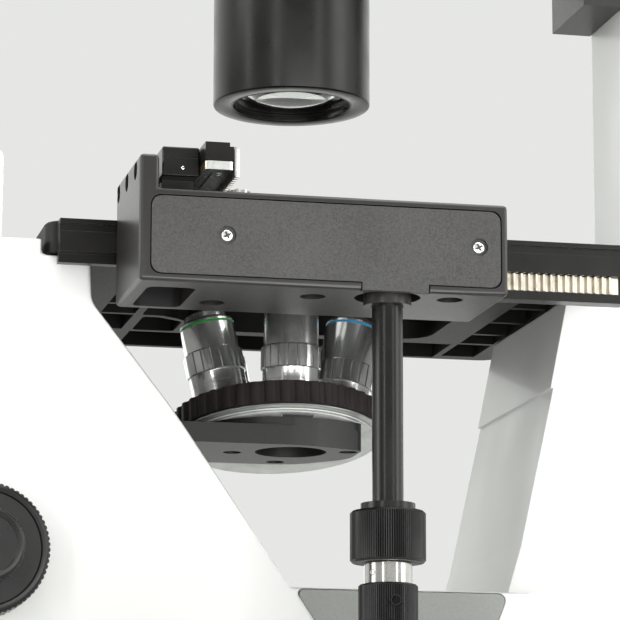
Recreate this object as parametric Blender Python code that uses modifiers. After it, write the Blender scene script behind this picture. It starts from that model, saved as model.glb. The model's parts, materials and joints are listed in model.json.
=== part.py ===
"""Inverted laboratory microscope: a U-shaped stand with a fixed stage, a five-place nosepiece below it,
a coaxial stage drive at its right side, a binocular head in front and the lamp and condenser above.

Sizes are metres. X runs to the user's right, Y from the user to the lamp column, Z up.
The optical axis is X = Y = 0 under the empty "microscope", which centres the whole instrument on the
world origin. Stage, nosepiece and condenser hang from the empty "object_plane" on that axis.
"""

import math

import bmesh
import bpy
from mathutils import Matrix, Vector

# Places of the whole instrument
ROOT_X = -0.0155                # moves the optical axis so that the overall box is centred
ROOT_Y = 0.0480
OBJECT_PLANE_Z = 0.2150         # specimen height above the table
SEAT_GAP = 0.0003               # gap between pieces that rest on each other
RUN_GAP = 0.0003                # gap beside pieces that slide or turn
ROUND_SIDES = 24                # facets of a plain round piece
CUT_THROUGH = 0.002             # how far a cutter passes a face
DRAWING_SCALE = 1000            # flat outlines are drawn this much larger, so fine teeth fill cleanly

# Stand
BASE_HALF_WIDTH = 0.0920
BASE_FRONT_Y = -0.2250
BASE_REAR_Y = 0.2150
BASE_BOTTOM_Z = 0.0125
BASE_FLOOR_Z = 0.0655           # floor of the U between the arms
BASE_PLATE_THICKNESS = 0.0060
FOOT_HEIGHT = 0.0060
FOOT_RADIUS = 0.0140
FOOT_INSET = 0.0300
ARM_EDGE_TOP_Y = -0.1010        # where the sloped arm edge reaches the stage
ARM_FOOT_Y = -0.0195            # where it meets the floor of the U
ARM_TOP_Z = 0.2460              # seat of the head
ARM_TOP_FRONT_Y = -0.2480
ARM_TOP_REAR_Y = -0.1340
ARM_TOP_HALF_WIDTH = 0.0620
COLUMN_HALF_WIDTH = 0.0570
COLUMN_FOOT_Y = 0.0790
COLUMN_TOP_Y = 0.1080
COLUMN_SHOULDER_STEP = 0.0070
COLUMN_SHOULDER_RISE = 0.0230
COLUMN_CREASE_Z = 0.1560        # where the upper cover of the column begins
CREASE_STEP = 0.0012
STAND_EDGE_RADIUS = 0.0030

# Grey side panels
PANEL_THICKNESS = 0.0030
PANEL_PROUD = 0.0006
PANEL_FRONT_Y = -0.2000
PANEL_REAR_TOP_Y = 0.0700
PANEL_REAR_FOOT_Y = 0.0620
PANEL_TOP_DROP = 0.0004
PANEL_BOTTOM_Z = 0.0200
PANEL_FRONT_TOP_Z = 0.0400

# Fixed stage
STAGE_LEFT_X = -0.1050
STAGE_RIGHT_X = 0.0948
STAGE_FRONT_Y = -0.1200
STAGE_REAR_Y = 0.1210
STAGE_TOP = -0.0054             # below the object plane, like every height up to the condenser
STAGE_BOTTOM = -0.0186
STAGE_SKIN = 0.0040
STAGE_CORNER = 0.0080
STAGE_RIB = 0.0030
INSERT_RADIUS = 0.0590
INSERT_THICKNESS = 0.0029
INSERT_LEDGE = 0.0040
INSERT_HOLE_RADIUS = 0.0150
OPENING_FRONT_Y = -0.0610
OPENING_LEFT_FRONT_Y = -0.0380  # the left half of the opening begins further back
OPENING_STEP_X = -0.0275
OPENING_REAR_Y = 0.0756
OPENING_HALF_WIDTH = 0.0580
OPENING_CORNER = 0.0130

# Rail and rack of the Y motion
RAIL_INNER_X = 0.0951
RAIL_OUTER_X = 0.1032
RAIL_BACK = 0.0042
RAIL_TOP = -0.0064
RAIL_LIP = -0.0197
RAIL_LOWER_LIP = -0.0273
RAIL_BOTTOM = -0.0310
RAIL_FRONT_BOTTOM = -0.0236
RAIL_FRONT_Y = -0.1160
RAIL_REAR_Y = 0.1180
RAIL_GROOVE = 0.0012
Y_RACK_PITCH_X = 0.1020
Y_RACK_FRONT_Y = -0.0500
Y_RACK_REAR_Y = 0.1160
Y_GEAR_LOW = -0.0265
Y_GEAR_HIGH = -0.0205

# Drive block, the carriage of the Y motion
BLOCK_INNER_X = 0.1035
BLOCK_OUTER_X = 0.1600
BLOCK_FRONT_Y = -0.0936
BLOCK_REAR_Y = 0.0520
BLOCK_BOTTOM = -0.0417
BLOCK_TOP = -0.0054
EAR_TOP = 0.0078
EAR_THICKNESS = 0.0076
BLOCK_EDGE = 0.0016
BLOCK_WALL = 0.0030
COVER_MARGIN = 0.0031
COVER_FRONT_MARGIN = 0.0047
COVER_THICKNESS = 0.0030
COVER_GAP = 0.0005
COVER_CORNER = 0.0040
COVER_TAB_HALF_WIDTH = 0.0132
COVER_SCREW_Z = -0.0228
COVER_SCREW_RADIUS = 0.0035
COVER_SCREW_DEPTH = 0.0012
COVER_SCREW_FRONT_Y = -0.0595
COVER_SCREW_REAR_Y = 0.0403
CAVITY_FRONT_Y = -0.0640
CAVITY_REAR_Y = 0.0330
CAVITY_FLOOR = -0.0290
CAVITY_CEILING = -0.0100
UNDER_POCKET_DEPTH = 0.0120
UNDER_HOLE_RADIUS = 0.0052
UNDER_HOLE_DEPTH = 0.0060
END_HOLE_RADIUS = 0.0037
END_HOLE_DEPTH = 0.0045
END_HOLE_Z = 0.0032
RECESS_RADIUS = 0.0130
RECESS_DEPTH = 0.0060
BEARING_RADIUS = 0.0094
BEARING_DROP = 0.0034

# Coaxial drive: hollow outer shaft for Y, inner shaft for X
DRIVE_X = 0.1460
DRIVE_Y = 0.00675
TUBE_RADIUS = 0.00605
TUBE_BORE = 0.00370
INNER_SHAFT_RADIUS = 0.00350
UPPER_KNOB_RADIUS = 0.01465
UPPER_KNOB_TOP = -0.1254
UPPER_KNOB_BOTTOM = -0.1455
TUBE_COLLAR_RADIUS = 0.0106
TUBE_COLLAR_HEIGHT = 0.0029
NECK_RADIUS = 0.00925
LOWER_KNOB_RADIUS = 0.0115
LOWER_KNOB_TOP = -0.1537
LOWER_KNOB_BOTTOM = -0.1800
KNURL_DEPTH = 0.0004
KNURL_COUNT = 32

# Gears: module and numbers of teeth
MODULE = 0.0010
TOOTH_RISE = 0.75               # tooth height above the pitch line, in modules
TOOTH_FALL = 1.10               # tooth depth below it, in modules
TOOTH_PLAY = 0.22               # play between teeth, in modules
Y_PINION_TEETH = 16
Y_IDLER_TEETH = 36
X_DRIVER_TEETH = 20
X_MIDDLE_TEETH = 46
X_LAST_TEETH = 12
X_PINION_TEETH = 12
X_GEAR_LOW = -0.0170
X_GEAR_HIGH = -0.0120
GEAR_SHAFT_RADIUS = 0.0025
PINION_LOW = -0.0048
PINION_HIGH = 0.0040

# Guide and bar of the X motion
GUIDE_FAR_X = 0.0620
GUIDE_NEAR_X = 0.1470
GUIDE_FRONT_Y = -0.0828
GUIDE_WIDTH = 0.0146
GUIDE_BOTTOM = 0.0024
GUIDE_STRIP = 0.0039
GUIDE_FOOT_FAR_X = 0.1060
GUIDE_FOOT_NEAR_X = 0.1400
BAR_FAR_X = -0.0780
BAR_NEAR_X = 0.1580
BAR_FRONT_Y = -0.0679
BAR_WIDTH = 0.0112
BAR_TOP = 0.0141
BAR_BOTTOM = 0.0069
BAR_NOTCH = 0.0016
BAR_PLATE_THICKNESS = 0.0033
BAR_PLATE_CORNER = 0.0016
BAR_GROOVE_WIDTH = 0.0010
X_RACK_PITCH_Y = -0.0546
X_RACK_FAR_X = -0.0100
X_RACK_LOW = 0.0012
X_RACK_HIGH = 0.0126
HOLDER_LEFT_X = -0.0740
HOLDER_RIGHT_X = 0.0140
HOLDER_THICKNESS = 0.0030
HOLDER_LIFT = 0.0005
HOLDER_STRIP_WIDTH = 0.0130
HOLDER_JAW_WIDTH = 0.0080
HOLDER_JAW_END_Y = 0.0160
FINGER_PIN_RADIUS = 0.0020
FINGER_WIDTH = 0.0060
FINGER_LEAN = 0.0080            # how far the finger's tip stands off its pin's line
FINGER_BEND_RADIUS = 0.0100
FINGER_TIP_RADIUS = 0.0010

# Nosepiece
NOSE_BAR_TOP = -0.0729
NOSE_BAR_BOTTOM = -0.0815
NOSE_BAR_NEAR_X = 0.0214        # the bar lies off the optical axis, towards the turret's own axis
NOSE_BAR_FAR_X = -0.0377
NOSE_BAR_END_Y = 0.0293
NOSE_END_NEAR_X = 0.0106        # where the bar's end begins and ends
NOSE_END_FAR_X = -0.0155
NOSE_BOSS_RADIUS = 0.0392
NOSE_BOSS_TOP = -0.0694
NOSE_LUG_WIDTH = 0.0130
NOSE_LUG_DEPTH = 0.0019
NOSE_LUG_RISE = 0.0018
NOSE_BAR_ROOT_Y = -0.1200
NOSE_HOLE_RADIUS = 0.01545
NOSE_SCREW_PLACES = ((-0.0062, -0.0245), (0.0056, 0.0242), (-0.0301, -0.0004))
NOSE_SCREW_RADIUS = 0.0040
NOSE_SCREW_DEPTH = 0.0030
SLOT_EASE = 0.0015
FOCUS_TRAVEL_UP = 0.0030
FOCUS_TRAVEL_DOWN = 0.0060
FOCUS_BLOCK_HALF_WIDTH = 0.0200
FOCUS_BLOCK_DEPTH = 0.0140
FOCUS_BLOCK_HEIGHT = 0.0500
TURRET_TILT = 11.0              # degrees that the nosepiece leans away from the active objective
GRIP_RADIUS = 0.0468
GRIP_INNER_RADIUS = 0.0410
GRIP_HEIGHT = 0.0105
GRIP_RIBS = 44
GRIP_RIB_DEPTH = 0.0009
DISC_FLANGE_RADIUS = 0.0456
DISC_BOTTOM = -0.0114
DISC_HUB_RADIUS = 0.0100
PIVOT_RADIUS = 0.0080
PIVOT_TOP = -0.0040
LIGHT_PATH_RADIUS = 0.0090
SEAT_PLATE_RADIUS = 0.0425
SEAT_PLATE_THICKNESS = 0.0007
SEAT_CONE_RADIUS = 0.0408       # the seat's side slopes in from here
SEAT_CONE_FOOT_RADIUS = 0.0345
SEAT_CONE_DROP = 0.0040
SEAT_BORE = 0.0100
SEAT_NOTCH_WIDTH = 0.0143
SEAT_NOTCH_DEPTH = 0.0033
SEAT_NOTCH_DROP = 0.0008
OBJECTIVES = ("10", "20", "20_phase", "40", "4")
OBJECTIVE_CIRCLE = 0.0274
OBJECTIVE_SHOULDER_Z = -0.0562  # where the active objective is screwed in
OBJECTIVE_FLANGE_RADIUS = 0.0123
OBJECTIVE_FLANGE_TOP = 0.0104
OBJECTIVE_KNURL_RADIUS = 0.0131
OBJECTIVE_KNURL_TOP = 0.0202
OBJECTIVE_BARREL_RADIUS = 0.0120
OBJECTIVE_NOSE_RADIUS = 0.0092
OBJECTIVE_TIP_RADIUS = 0.0055
OBJECTIVE_LENGTH = 0.0435

# Focus drive
FOCUS_Y = -0.1450
FOCUS_Z = 0.0750
FOCUS_TUBE_RADIUS = 0.0090
FOCUS_TUBE_BORE = 0.0052
FOCUS_SHAFT_RADIUS = 0.0050
FOCUS_TUBE_GRIP = 0.0100         # how far the tube runs into each coarse knob
COARSE_HUB_LENGTH = 0.0040
COARSE_KNOB_RADIUS = 0.0260
COARSE_KNOB_LENGTH = 0.0190
FINE_KNOB_RADIUS = 0.0150
FINE_KNOB_LENGTH = 0.0140

# Condenser, measured up from the object plane
CONDENSER_BOTTOM = 0.0720
CONDENSER_RADIUS = 0.03446
CONDENSER_RIM_BORE = 0.02575
CONDENSER_BORE = 0.02380
CONDENSER_RIM_DEPTH = 0.0030
CONDENSER_FLANGE_RADIUS = 0.0420
CONDENSER_FLANGE_BOTTOM = 0.1503
CONDENSER_FLANGE_TOP = 0.1580
CONDENSER_LENS_THICKNESS = 0.0040
CONDENSER_LENS_BULGE = 0.0052
CARRIER_RING_RADIUS = 0.0480
CARRIER_RING_BOTTOM = 0.1370
CARRIER_ARM_HALF_WIDTH = 0.0160
CARRIER_SLIDE_HALF_WIDTH = 0.0240
CARRIER_SLIDE_DEPTH = 0.0180
CARRIER_SLIDE_HEIGHT = 0.0560
SLIDER_HOUSING_X = 0.0960
SLIDER_HOUSING_Y = 0.0760
SLIDER_HOUSING_HEIGHT = 0.0160
SLIDER_WIDTH = 0.0440
SLIDER_THICKNESS = 0.0060
SLIDER_LENGTH = 0.1500
SLIDER_STOP_RADIUS = 0.0180
APERTURE_RING_RADIUS = 0.0370
APERTURE_NECK_RADIUS = 0.0290
APERTURE_RING_HEIGHT = 0.0060
APERTURE_LEVER_LENGTH = 0.0300

# Lamp column and lamp arm
LAMP_COLUMN_FRONT_Y = 0.1460
LAMP_COLUMN_REAR_Y = 0.1900
LAMP_COLUMN_HALF_WIDTH = 0.0280
LAMP_ARM_TOP_Z = 0.5050
LAMP_ARM_HEIGHT = 0.0647
LAMP_ARM_HALF_WIDTH = 0.0400
LAMP_ARM_NOSE_Y = -0.0480
LAMP_OUTLET_RADIUS = 0.0240
LAMP_OUTLET_DEPTH = 0.0160
LAMP_LENS_THICKNESS = 0.0060
CLAMP_KNOB_RADIUS = 0.0085
CLAMP_KNOB_LENGTH = 0.0140

# Binocular head
HEAD_Y = -0.2080
HEAD_Z = 0.3020
HEAD_INCLINE = 45.0             # degrees of the eyepieces above the table
HEAD_HALF_WIDTH = 0.0430
EYE_ARM_LENGTH = 0.0380
EYE_HALF_DISTANCE = 0.0310
EYE_PLATE_THICKNESS = 0.0150
EYE_HUB_RADIUS = 0.0130
EYE_END_RADIUS = 0.0220
ARM_ARC_STEPS = 10
EYE_TUBE_RADIUS = 0.0160
EYE_TUBE_BORE = 0.0119
EYE_TUBE_TOP = 0.0760
EYEPIECE_BARREL_RADIUS = 0.0116
EYEPIECE_BARREL_LENGTH = 0.0280
EYEPIECE_RADIUS = 0.0200
EYEPIECE_HEIGHT = 0.0320
DIOPTER_RING_RADIUS = 0.0190
DIOPTER_RING_HEIGHT = 0.0100

# Small parts of the base
PORT_RADIUS = 0.0200
PORT_HEIGHT = 0.0040
PORT_RECESS = 0.0030
INLET_X = -0.0350
INLET_Z = 0.0380
INLET_WIDTH = 0.0280
INLET_HEIGHT = 0.0200
INLET_DEPTH = 0.0160
SWITCH_X = 0.0300
SWITCH_WIDTH = 0.0130
SWITCH_HEIGHT = 0.0180
SWITCH_ROCK = 8.0               # degrees to each side
SWITCH_AXIS_DEPTH = 0.0045
SWITCH_PROUD = 0.0008
SWITCH_BACK = 0.0010
SWITCH_EASE = 0.0008
SWITCH_SEAT_DEPTH = 0.0100
DIMMER_Y = -0.1950
DIMMER_Z = 0.0560
DIMMER_RADIUS = 0.0110
DIMMER_LENGTH = 0.0120

for old in list(bpy.data.objects):
    bpy.data.objects.remove(old, do_unlink=True)

scene_collection = bpy.context.scene.collection
PARTS = bpy.data.collections.new("inverted_microscope")
CUTTERS = bpy.data.collections.new("cutters")
scene_collection.children.link(PARTS)
scene_collection.children.link(CUTTERS)


def paint(name, colour, roughness, metallic=0.0):
    """A plain Principled material."""
    material = bpy.data.materials.new(name)
    material.use_nodes = True
    shader = material.node_tree.nodes["Principled BSDF"]
    shader.inputs["Base Color"].default_value = (*colour, 1.0)
    shader.inputs["Roughness"].default_value = roughness
    shader.inputs["Metallic"].default_value = metallic
    material.diffuse_color = (*colour, 1.0)
    return material


WHITE_ENAMEL = (0.80, 0.81, 0.78)
BLACK_ENAMEL = (0.035, 0.034, 0.035)
GREY_TEXTURE = (0.30, 0.32, 0.31)
BLACK_ANODISED = (0.030, 0.029, 0.030)
CHROME = (0.78, 0.78, 0.76)
STEEL = (0.58, 0.58, 0.56)
BRONZE = (0.55, 0.40, 0.26)
RUBBER = (0.02, 0.02, 0.02)
GLASS = (0.85, 0.88, 0.87)


def empty(name, parent=None, place=(0, 0, 0), turn=None):
    """A guide that carries the pieces of one body."""
    guide = bpy.data.objects.new(name, None)
    guide.empty_display_size = 0.02
    scene_collection.objects.link(guide)
    guide.parent = parent
    guide.location = place
    if turn is not None:
        guide.rotation_euler = turn
    return guide


def new_object(name, mesh, parent, place=(0, 0, 0)):
    """Adds a mesh to the parts under its parent."""
    piece = bpy.data.objects.new(name, mesh)
    PARTS.objects.link(piece)
    piece.parent = parent
    piece.location = place
    return piece


def finish(piece, colour, roughness, metallic=0.0, smooth=30.0):
    """Gives a piece its own material and shades its round faces smooth."""
    piece.data.materials.clear()
    piece.data.materials.append(paint(piece.name, colour, roughness, metallic))
    piece.data.shade_smooth()
    piece.data.set_sharp_from_angle(angle=math.radians(smooth))
    return piece


def mesh_from(builder, name):
    """A mesh from a function that fills a bmesh."""
    work = bmesh.new()
    builder(work)
    mesh = bpy.data.meshes.new(name)
    work.to_mesh(mesh)
    work.free()
    return mesh


def box(name, low, high, parent):
    """A box between two corners, with its origin at its centre."""
    low, high = Vector(low), Vector(high)
    size = high - low

    def build(work):
        bmesh.ops.create_cube(work, size=1.0)
        bmesh.ops.scale(work, vec=size, verts=work.verts)

    return new_object(name, mesh_from(build, name), parent, (low + high) / 2)


def boxes(name, spans, parent):
    """Several separate boxes in one mesh, for cutting a pattern of pockets."""

    def build(work):
        for low, high in spans:
            low, high = Vector(low), Vector(high)
            made = bmesh.ops.create_cube(work, size=1.0)["verts"]
            bmesh.ops.scale(work, vec=high - low, verts=made)
            bmesh.ops.translate(work, vec=(low + high) / 2, verts=made)

    return new_object(name, mesh_from(build, name), parent)


TURN_TO_AXIS = {
    "X": Matrix.Rotation(math.radians(90), 4, "Y"),
    "Y": Matrix.Rotation(math.radians(-90), 4, "X"),
    "Z": Matrix.Identity(4),
}


def rod(name, radius, start, end, centre, parent, axis="Z", sides=ROUND_SIDES):
    """A cylinder from start to end along an axis; centre gives its other two coordinates."""

    def build(work):
        bmesh.ops.create_cone(
            work, cap_ends=True, segments=sides, radius1=radius, radius2=radius, depth=abs(end - start)
        )
        bmesh.ops.transform(work, matrix=TURN_TO_AXIS[axis], verts=work.verts)

    place = list(centre)
    place["XYZ".index(axis)] = (start + end) / 2
    return new_object(name, mesh_from(build, name), parent, place)


def turned(name, profile, parent, place=(0, 0, 0), steps=ROUND_SIDES, axis="Z", closed=False):
    """A turned piece: the profile's (radius, height) points run down its outer side."""
    mesh = bpy.data.meshes.new(name)
    points = [(radius, 0.0, height) for radius, height in profile]
    edges = [(i, i + 1) for i in range(len(points) - 1)]
    if closed:
        edges.append((len(points) - 1, 0))
    mesh.from_pydata(points, edges, [])
    piece = new_object(name, mesh, parent, place)
    if axis != "Z":
        piece.rotation_euler = TURN_TO_AXIS[axis].to_euler()
    screw = piece.modifiers.new("turn", "SCREW")
    screw.axis = "Z"
    screw.steps = steps
    screw.render_steps = steps
    screw.use_merge_vertices = True
    screw.merge_threshold = 0.00001
    screw.use_smooth_shade = True
    return piece


def rounded(corners, steps=4):
    """The outline through corners (u, v, radius), each turned with an arc."""
    points = []
    count = len(corners)
    for i, (u, v, radius) in enumerate(corners):
        here = Vector((u, v))
        if radius <= 0:
            points.append(here)
            continue
        before = Vector(corners[i - 1][:2]) - here
        after = Vector(corners[(i + 1) % count][:2]) - here
        half = before.angle(after) / 2
        reach = radius / math.tan(half)
        middle = here + (before.normalized() + after.normalized()).normalized() * radius / math.sin(half)
        start = here + before.normalized() * reach - middle
        end = here + after.normalized() * reach - middle
        swing = start.angle_signed(end)
        for step in range(steps + 1):
            turn = Matrix.Rotation(-swing * step / steps, 2)
            points.append(middle + turn @ start)
    return [(point.x, point.y) for point in points]


def rectangle(u0, v0, u1, v1, radius=0.0, steps=4):
    """A rectangle with equally rounded corners."""
    corners = [(u0, v0, radius), (u1, v0, radius), (u1, v1, radius), (u0, v1, radius)]
    return rounded(corners, steps)


def circle(u, v, radius, sides=ROUND_SIDES):
    """Points of a circle."""
    turns = [2 * math.pi * i / sides for i in range(sides)]
    return [(u + radius * math.cos(a), v + radius * math.sin(a)) for a in turns]


FACE_TURN = {
    "XY": Matrix.Identity(4),
    "XZ": Matrix.Rotation(math.radians(90), 4, "X"),
    "YZ": Matrix.Rotation(math.radians(90), 4, "Z") @ Matrix.Rotation(math.radians(90), 4, "X"),
}


def outline(name, loops, start, end, parent, face="XY"):
    """A flat outline drawn in a face's two axes and extruded between two heights along the third."""
    curve = bpy.data.curves.new(name, "CURVE")
    curve.dimensions = "2D"
    curve.fill_mode = "BOTH"
    curve.extrude = abs(end - start) / 2 * DRAWING_SCALE
    for loop in loops:
        spline = curve.splines.new("POLY")
        spline.points.add(len(loop) - 1)
        for point, (u, v) in zip(spline.points, loop):
            point.co = (u * DRAWING_SCALE, v * DRAWING_SCALE, 0.0, 1.0)
        spline.use_cyclic_u = True
    drawn = bpy.data.objects.new(name + "_outline", curve)
    scene_collection.objects.link(drawn)
    bpy.context.view_layer.update()
    graph = bpy.context.evaluated_depsgraph_get()
    mesh = bpy.data.meshes.new_from_object(drawn.evaluated_get(graph))
    bpy.data.objects.remove(drawn, do_unlink=True)
    mesh.name = name
    work = bmesh.new()
    work.from_mesh(mesh)
    bmesh.ops.scale(work, vec=[1 / DRAWING_SCALE] * 3, verts=work.verts)
    bmesh.ops.remove_doubles(work, verts=work.verts, dist=0.000001)
    bmesh.ops.dissolve_limit(work, angle_limit=math.radians(0.2), verts=work.verts, edges=work.edges)
    bmesh.ops.recalc_face_normals(work, faces=work.faces)
    bmesh.ops.transform(work, matrix=FACE_TURN[face], verts=work.verts)
    work.to_mesh(mesh)
    work.free()
    middle = (start + end) / 2
    place = {"XY": (0, 0, middle), "XZ": (0, middle, 0), "YZ": (middle, 0, 0)}[face]
    return new_object(name, mesh, parent, place)


def change(piece, tool, operation):
    """Cuts, joins or limits a piece with a tool that is not itself part of the model."""
    PARTS.objects.unlink(tool)
    CUTTERS.objects.link(tool)
    tool.hide_render = True
    tool.display_type = "WIRE"
    step = piece.modifiers.new(tool.name, "BOOLEAN")
    step.operation = operation
    step.solver = "EXACT"
    step.object = tool
    return piece


def cut(piece, tool):
    return change(piece, tool, "DIFFERENCE")


def fuse(piece, tool):
    return change(piece, tool, "UNION")


def soften(piece, width, segments=2, angle=35.0):
    """Rounds the sharp edges."""
    step = piece.modifiers.new("edges", "BEVEL")
    step.width = width
    step.segments = segments
    step.limit_method = "ANGLE"
    step.angle_limit = math.radians(angle)
    return piece


def gear_outline(teeth, module, centre=(0.0, 0.0), first_tooth=0.0):
    """Straight-flanked gear teeth with one tooth centred on the angle first_tooth, in radians."""
    pitch_radius = module * teeth / 2
    tip = pitch_radius + TOOTH_RISE * module
    root = pitch_radius - TOOTH_FALL * module
    half_width = (math.pi / 2 - TOOTH_PLAY) * module / 2
    slope = math.tan(math.radians(20))
    tip_half = (half_width - slope * TOOTH_RISE * module) / tip
    root_half = (half_width + slope * TOOTH_FALL * module * 0.8) / root
    points = []
    for tooth in range(teeth):
        middle = first_tooth + 2 * math.pi * tooth / teeth
        for radius, offset in ((root, -root_half), (tip, -tip_half), (tip, tip_half), (root, root_half)):
            turn = middle + offset
            points.append((centre[0] + radius * math.cos(turn), centre[1] + radius * math.sin(turn)))
    return points


def rack_outline(module, along_low, along_high, space_at, pitch_line, back):
    """A rack along the first axis, teeth towards higher values of the second, a space at space_at."""
    pitch = math.pi * module
    half_width = (math.pi / 2 - TOOTH_PLAY) * module / 2
    slope = math.tan(math.radians(20))
    tip_half = half_width - slope * TOOTH_RISE * module
    root_half = half_width + slope * TOOTH_FALL * module
    tip = pitch_line + TOOTH_RISE * module
    root = pitch_line - TOOTH_FALL * module
    first = math.ceil((along_low + root_half - space_at) / pitch - 0.5)
    last = math.floor((along_high - root_half - space_at) / pitch - 0.5)
    points = [(along_low, back), (along_low, root)]
    for tooth in range(first, last + 1):
        middle = space_at + (tooth + 0.5) * pitch
        points += [(middle - root_half, root), (middle - tip_half, tip)]
        points += [(middle + tip_half, tip), (middle + root_half, root)]
    points += [(along_high, root), (along_high, back)]
    return points


def knurled(radius, depth=KNURL_DEPTH, count=KNURL_COUNT, u=0.0, v=0.0):
    """A circle with fine straight flutes."""
    points = []
    for flute in range(count):
        for part, out in ((0.0, radius), (0.5, radius - depth)):
            turn = 2 * math.pi * (flute + part) / count
            points.append((u + out * math.cos(turn), v + out * math.sin(turn)))
    return points


# Guides: the whole instrument, the object plane and one for each moving body
MICROSCOPE = empty("microscope", None, (ROOT_X, ROOT_Y, 0))
PLANE = empty("object_plane", MICROSCOPE, (0, 0, OBJECT_PLANE_Z))
CARRIAGE = empty("y_carriage", PLANE)
DRIVE = empty("drive_axis", CARRIAGE, (DRIVE_X, DRIVE_Y, 0))
BAR = empty("x_slide", CARRIAGE)
NOSE = empty("focus_slide", PLANE)
TURRET_LEAN = math.radians(TURRET_TILT)
TURRET_X = -OBJECTIVE_CIRCLE * math.cos(TURRET_LEAN)
TURRET_Z = OBJECTIVE_SHOULDER_Z - OBJECTIVE_CIRCLE * math.sin(TURRET_LEAN)
TURRET = empty("turret_axis", NOSE, (TURRET_X, 0, TURRET_Z), (0, -TURRET_LEAN, 0))
FOCUS = empty("focus_axis", MICROSCOPE, (0, FOCUS_Y, FOCUS_Z))
CONDENSER = empty("condenser_slide", PLANE)
HEAD = empty("head_incline", MICROSCOPE, (0, HEAD_Y, HEAD_Z), (math.radians(90 - HEAD_INCLINE), 0, 0))


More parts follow.
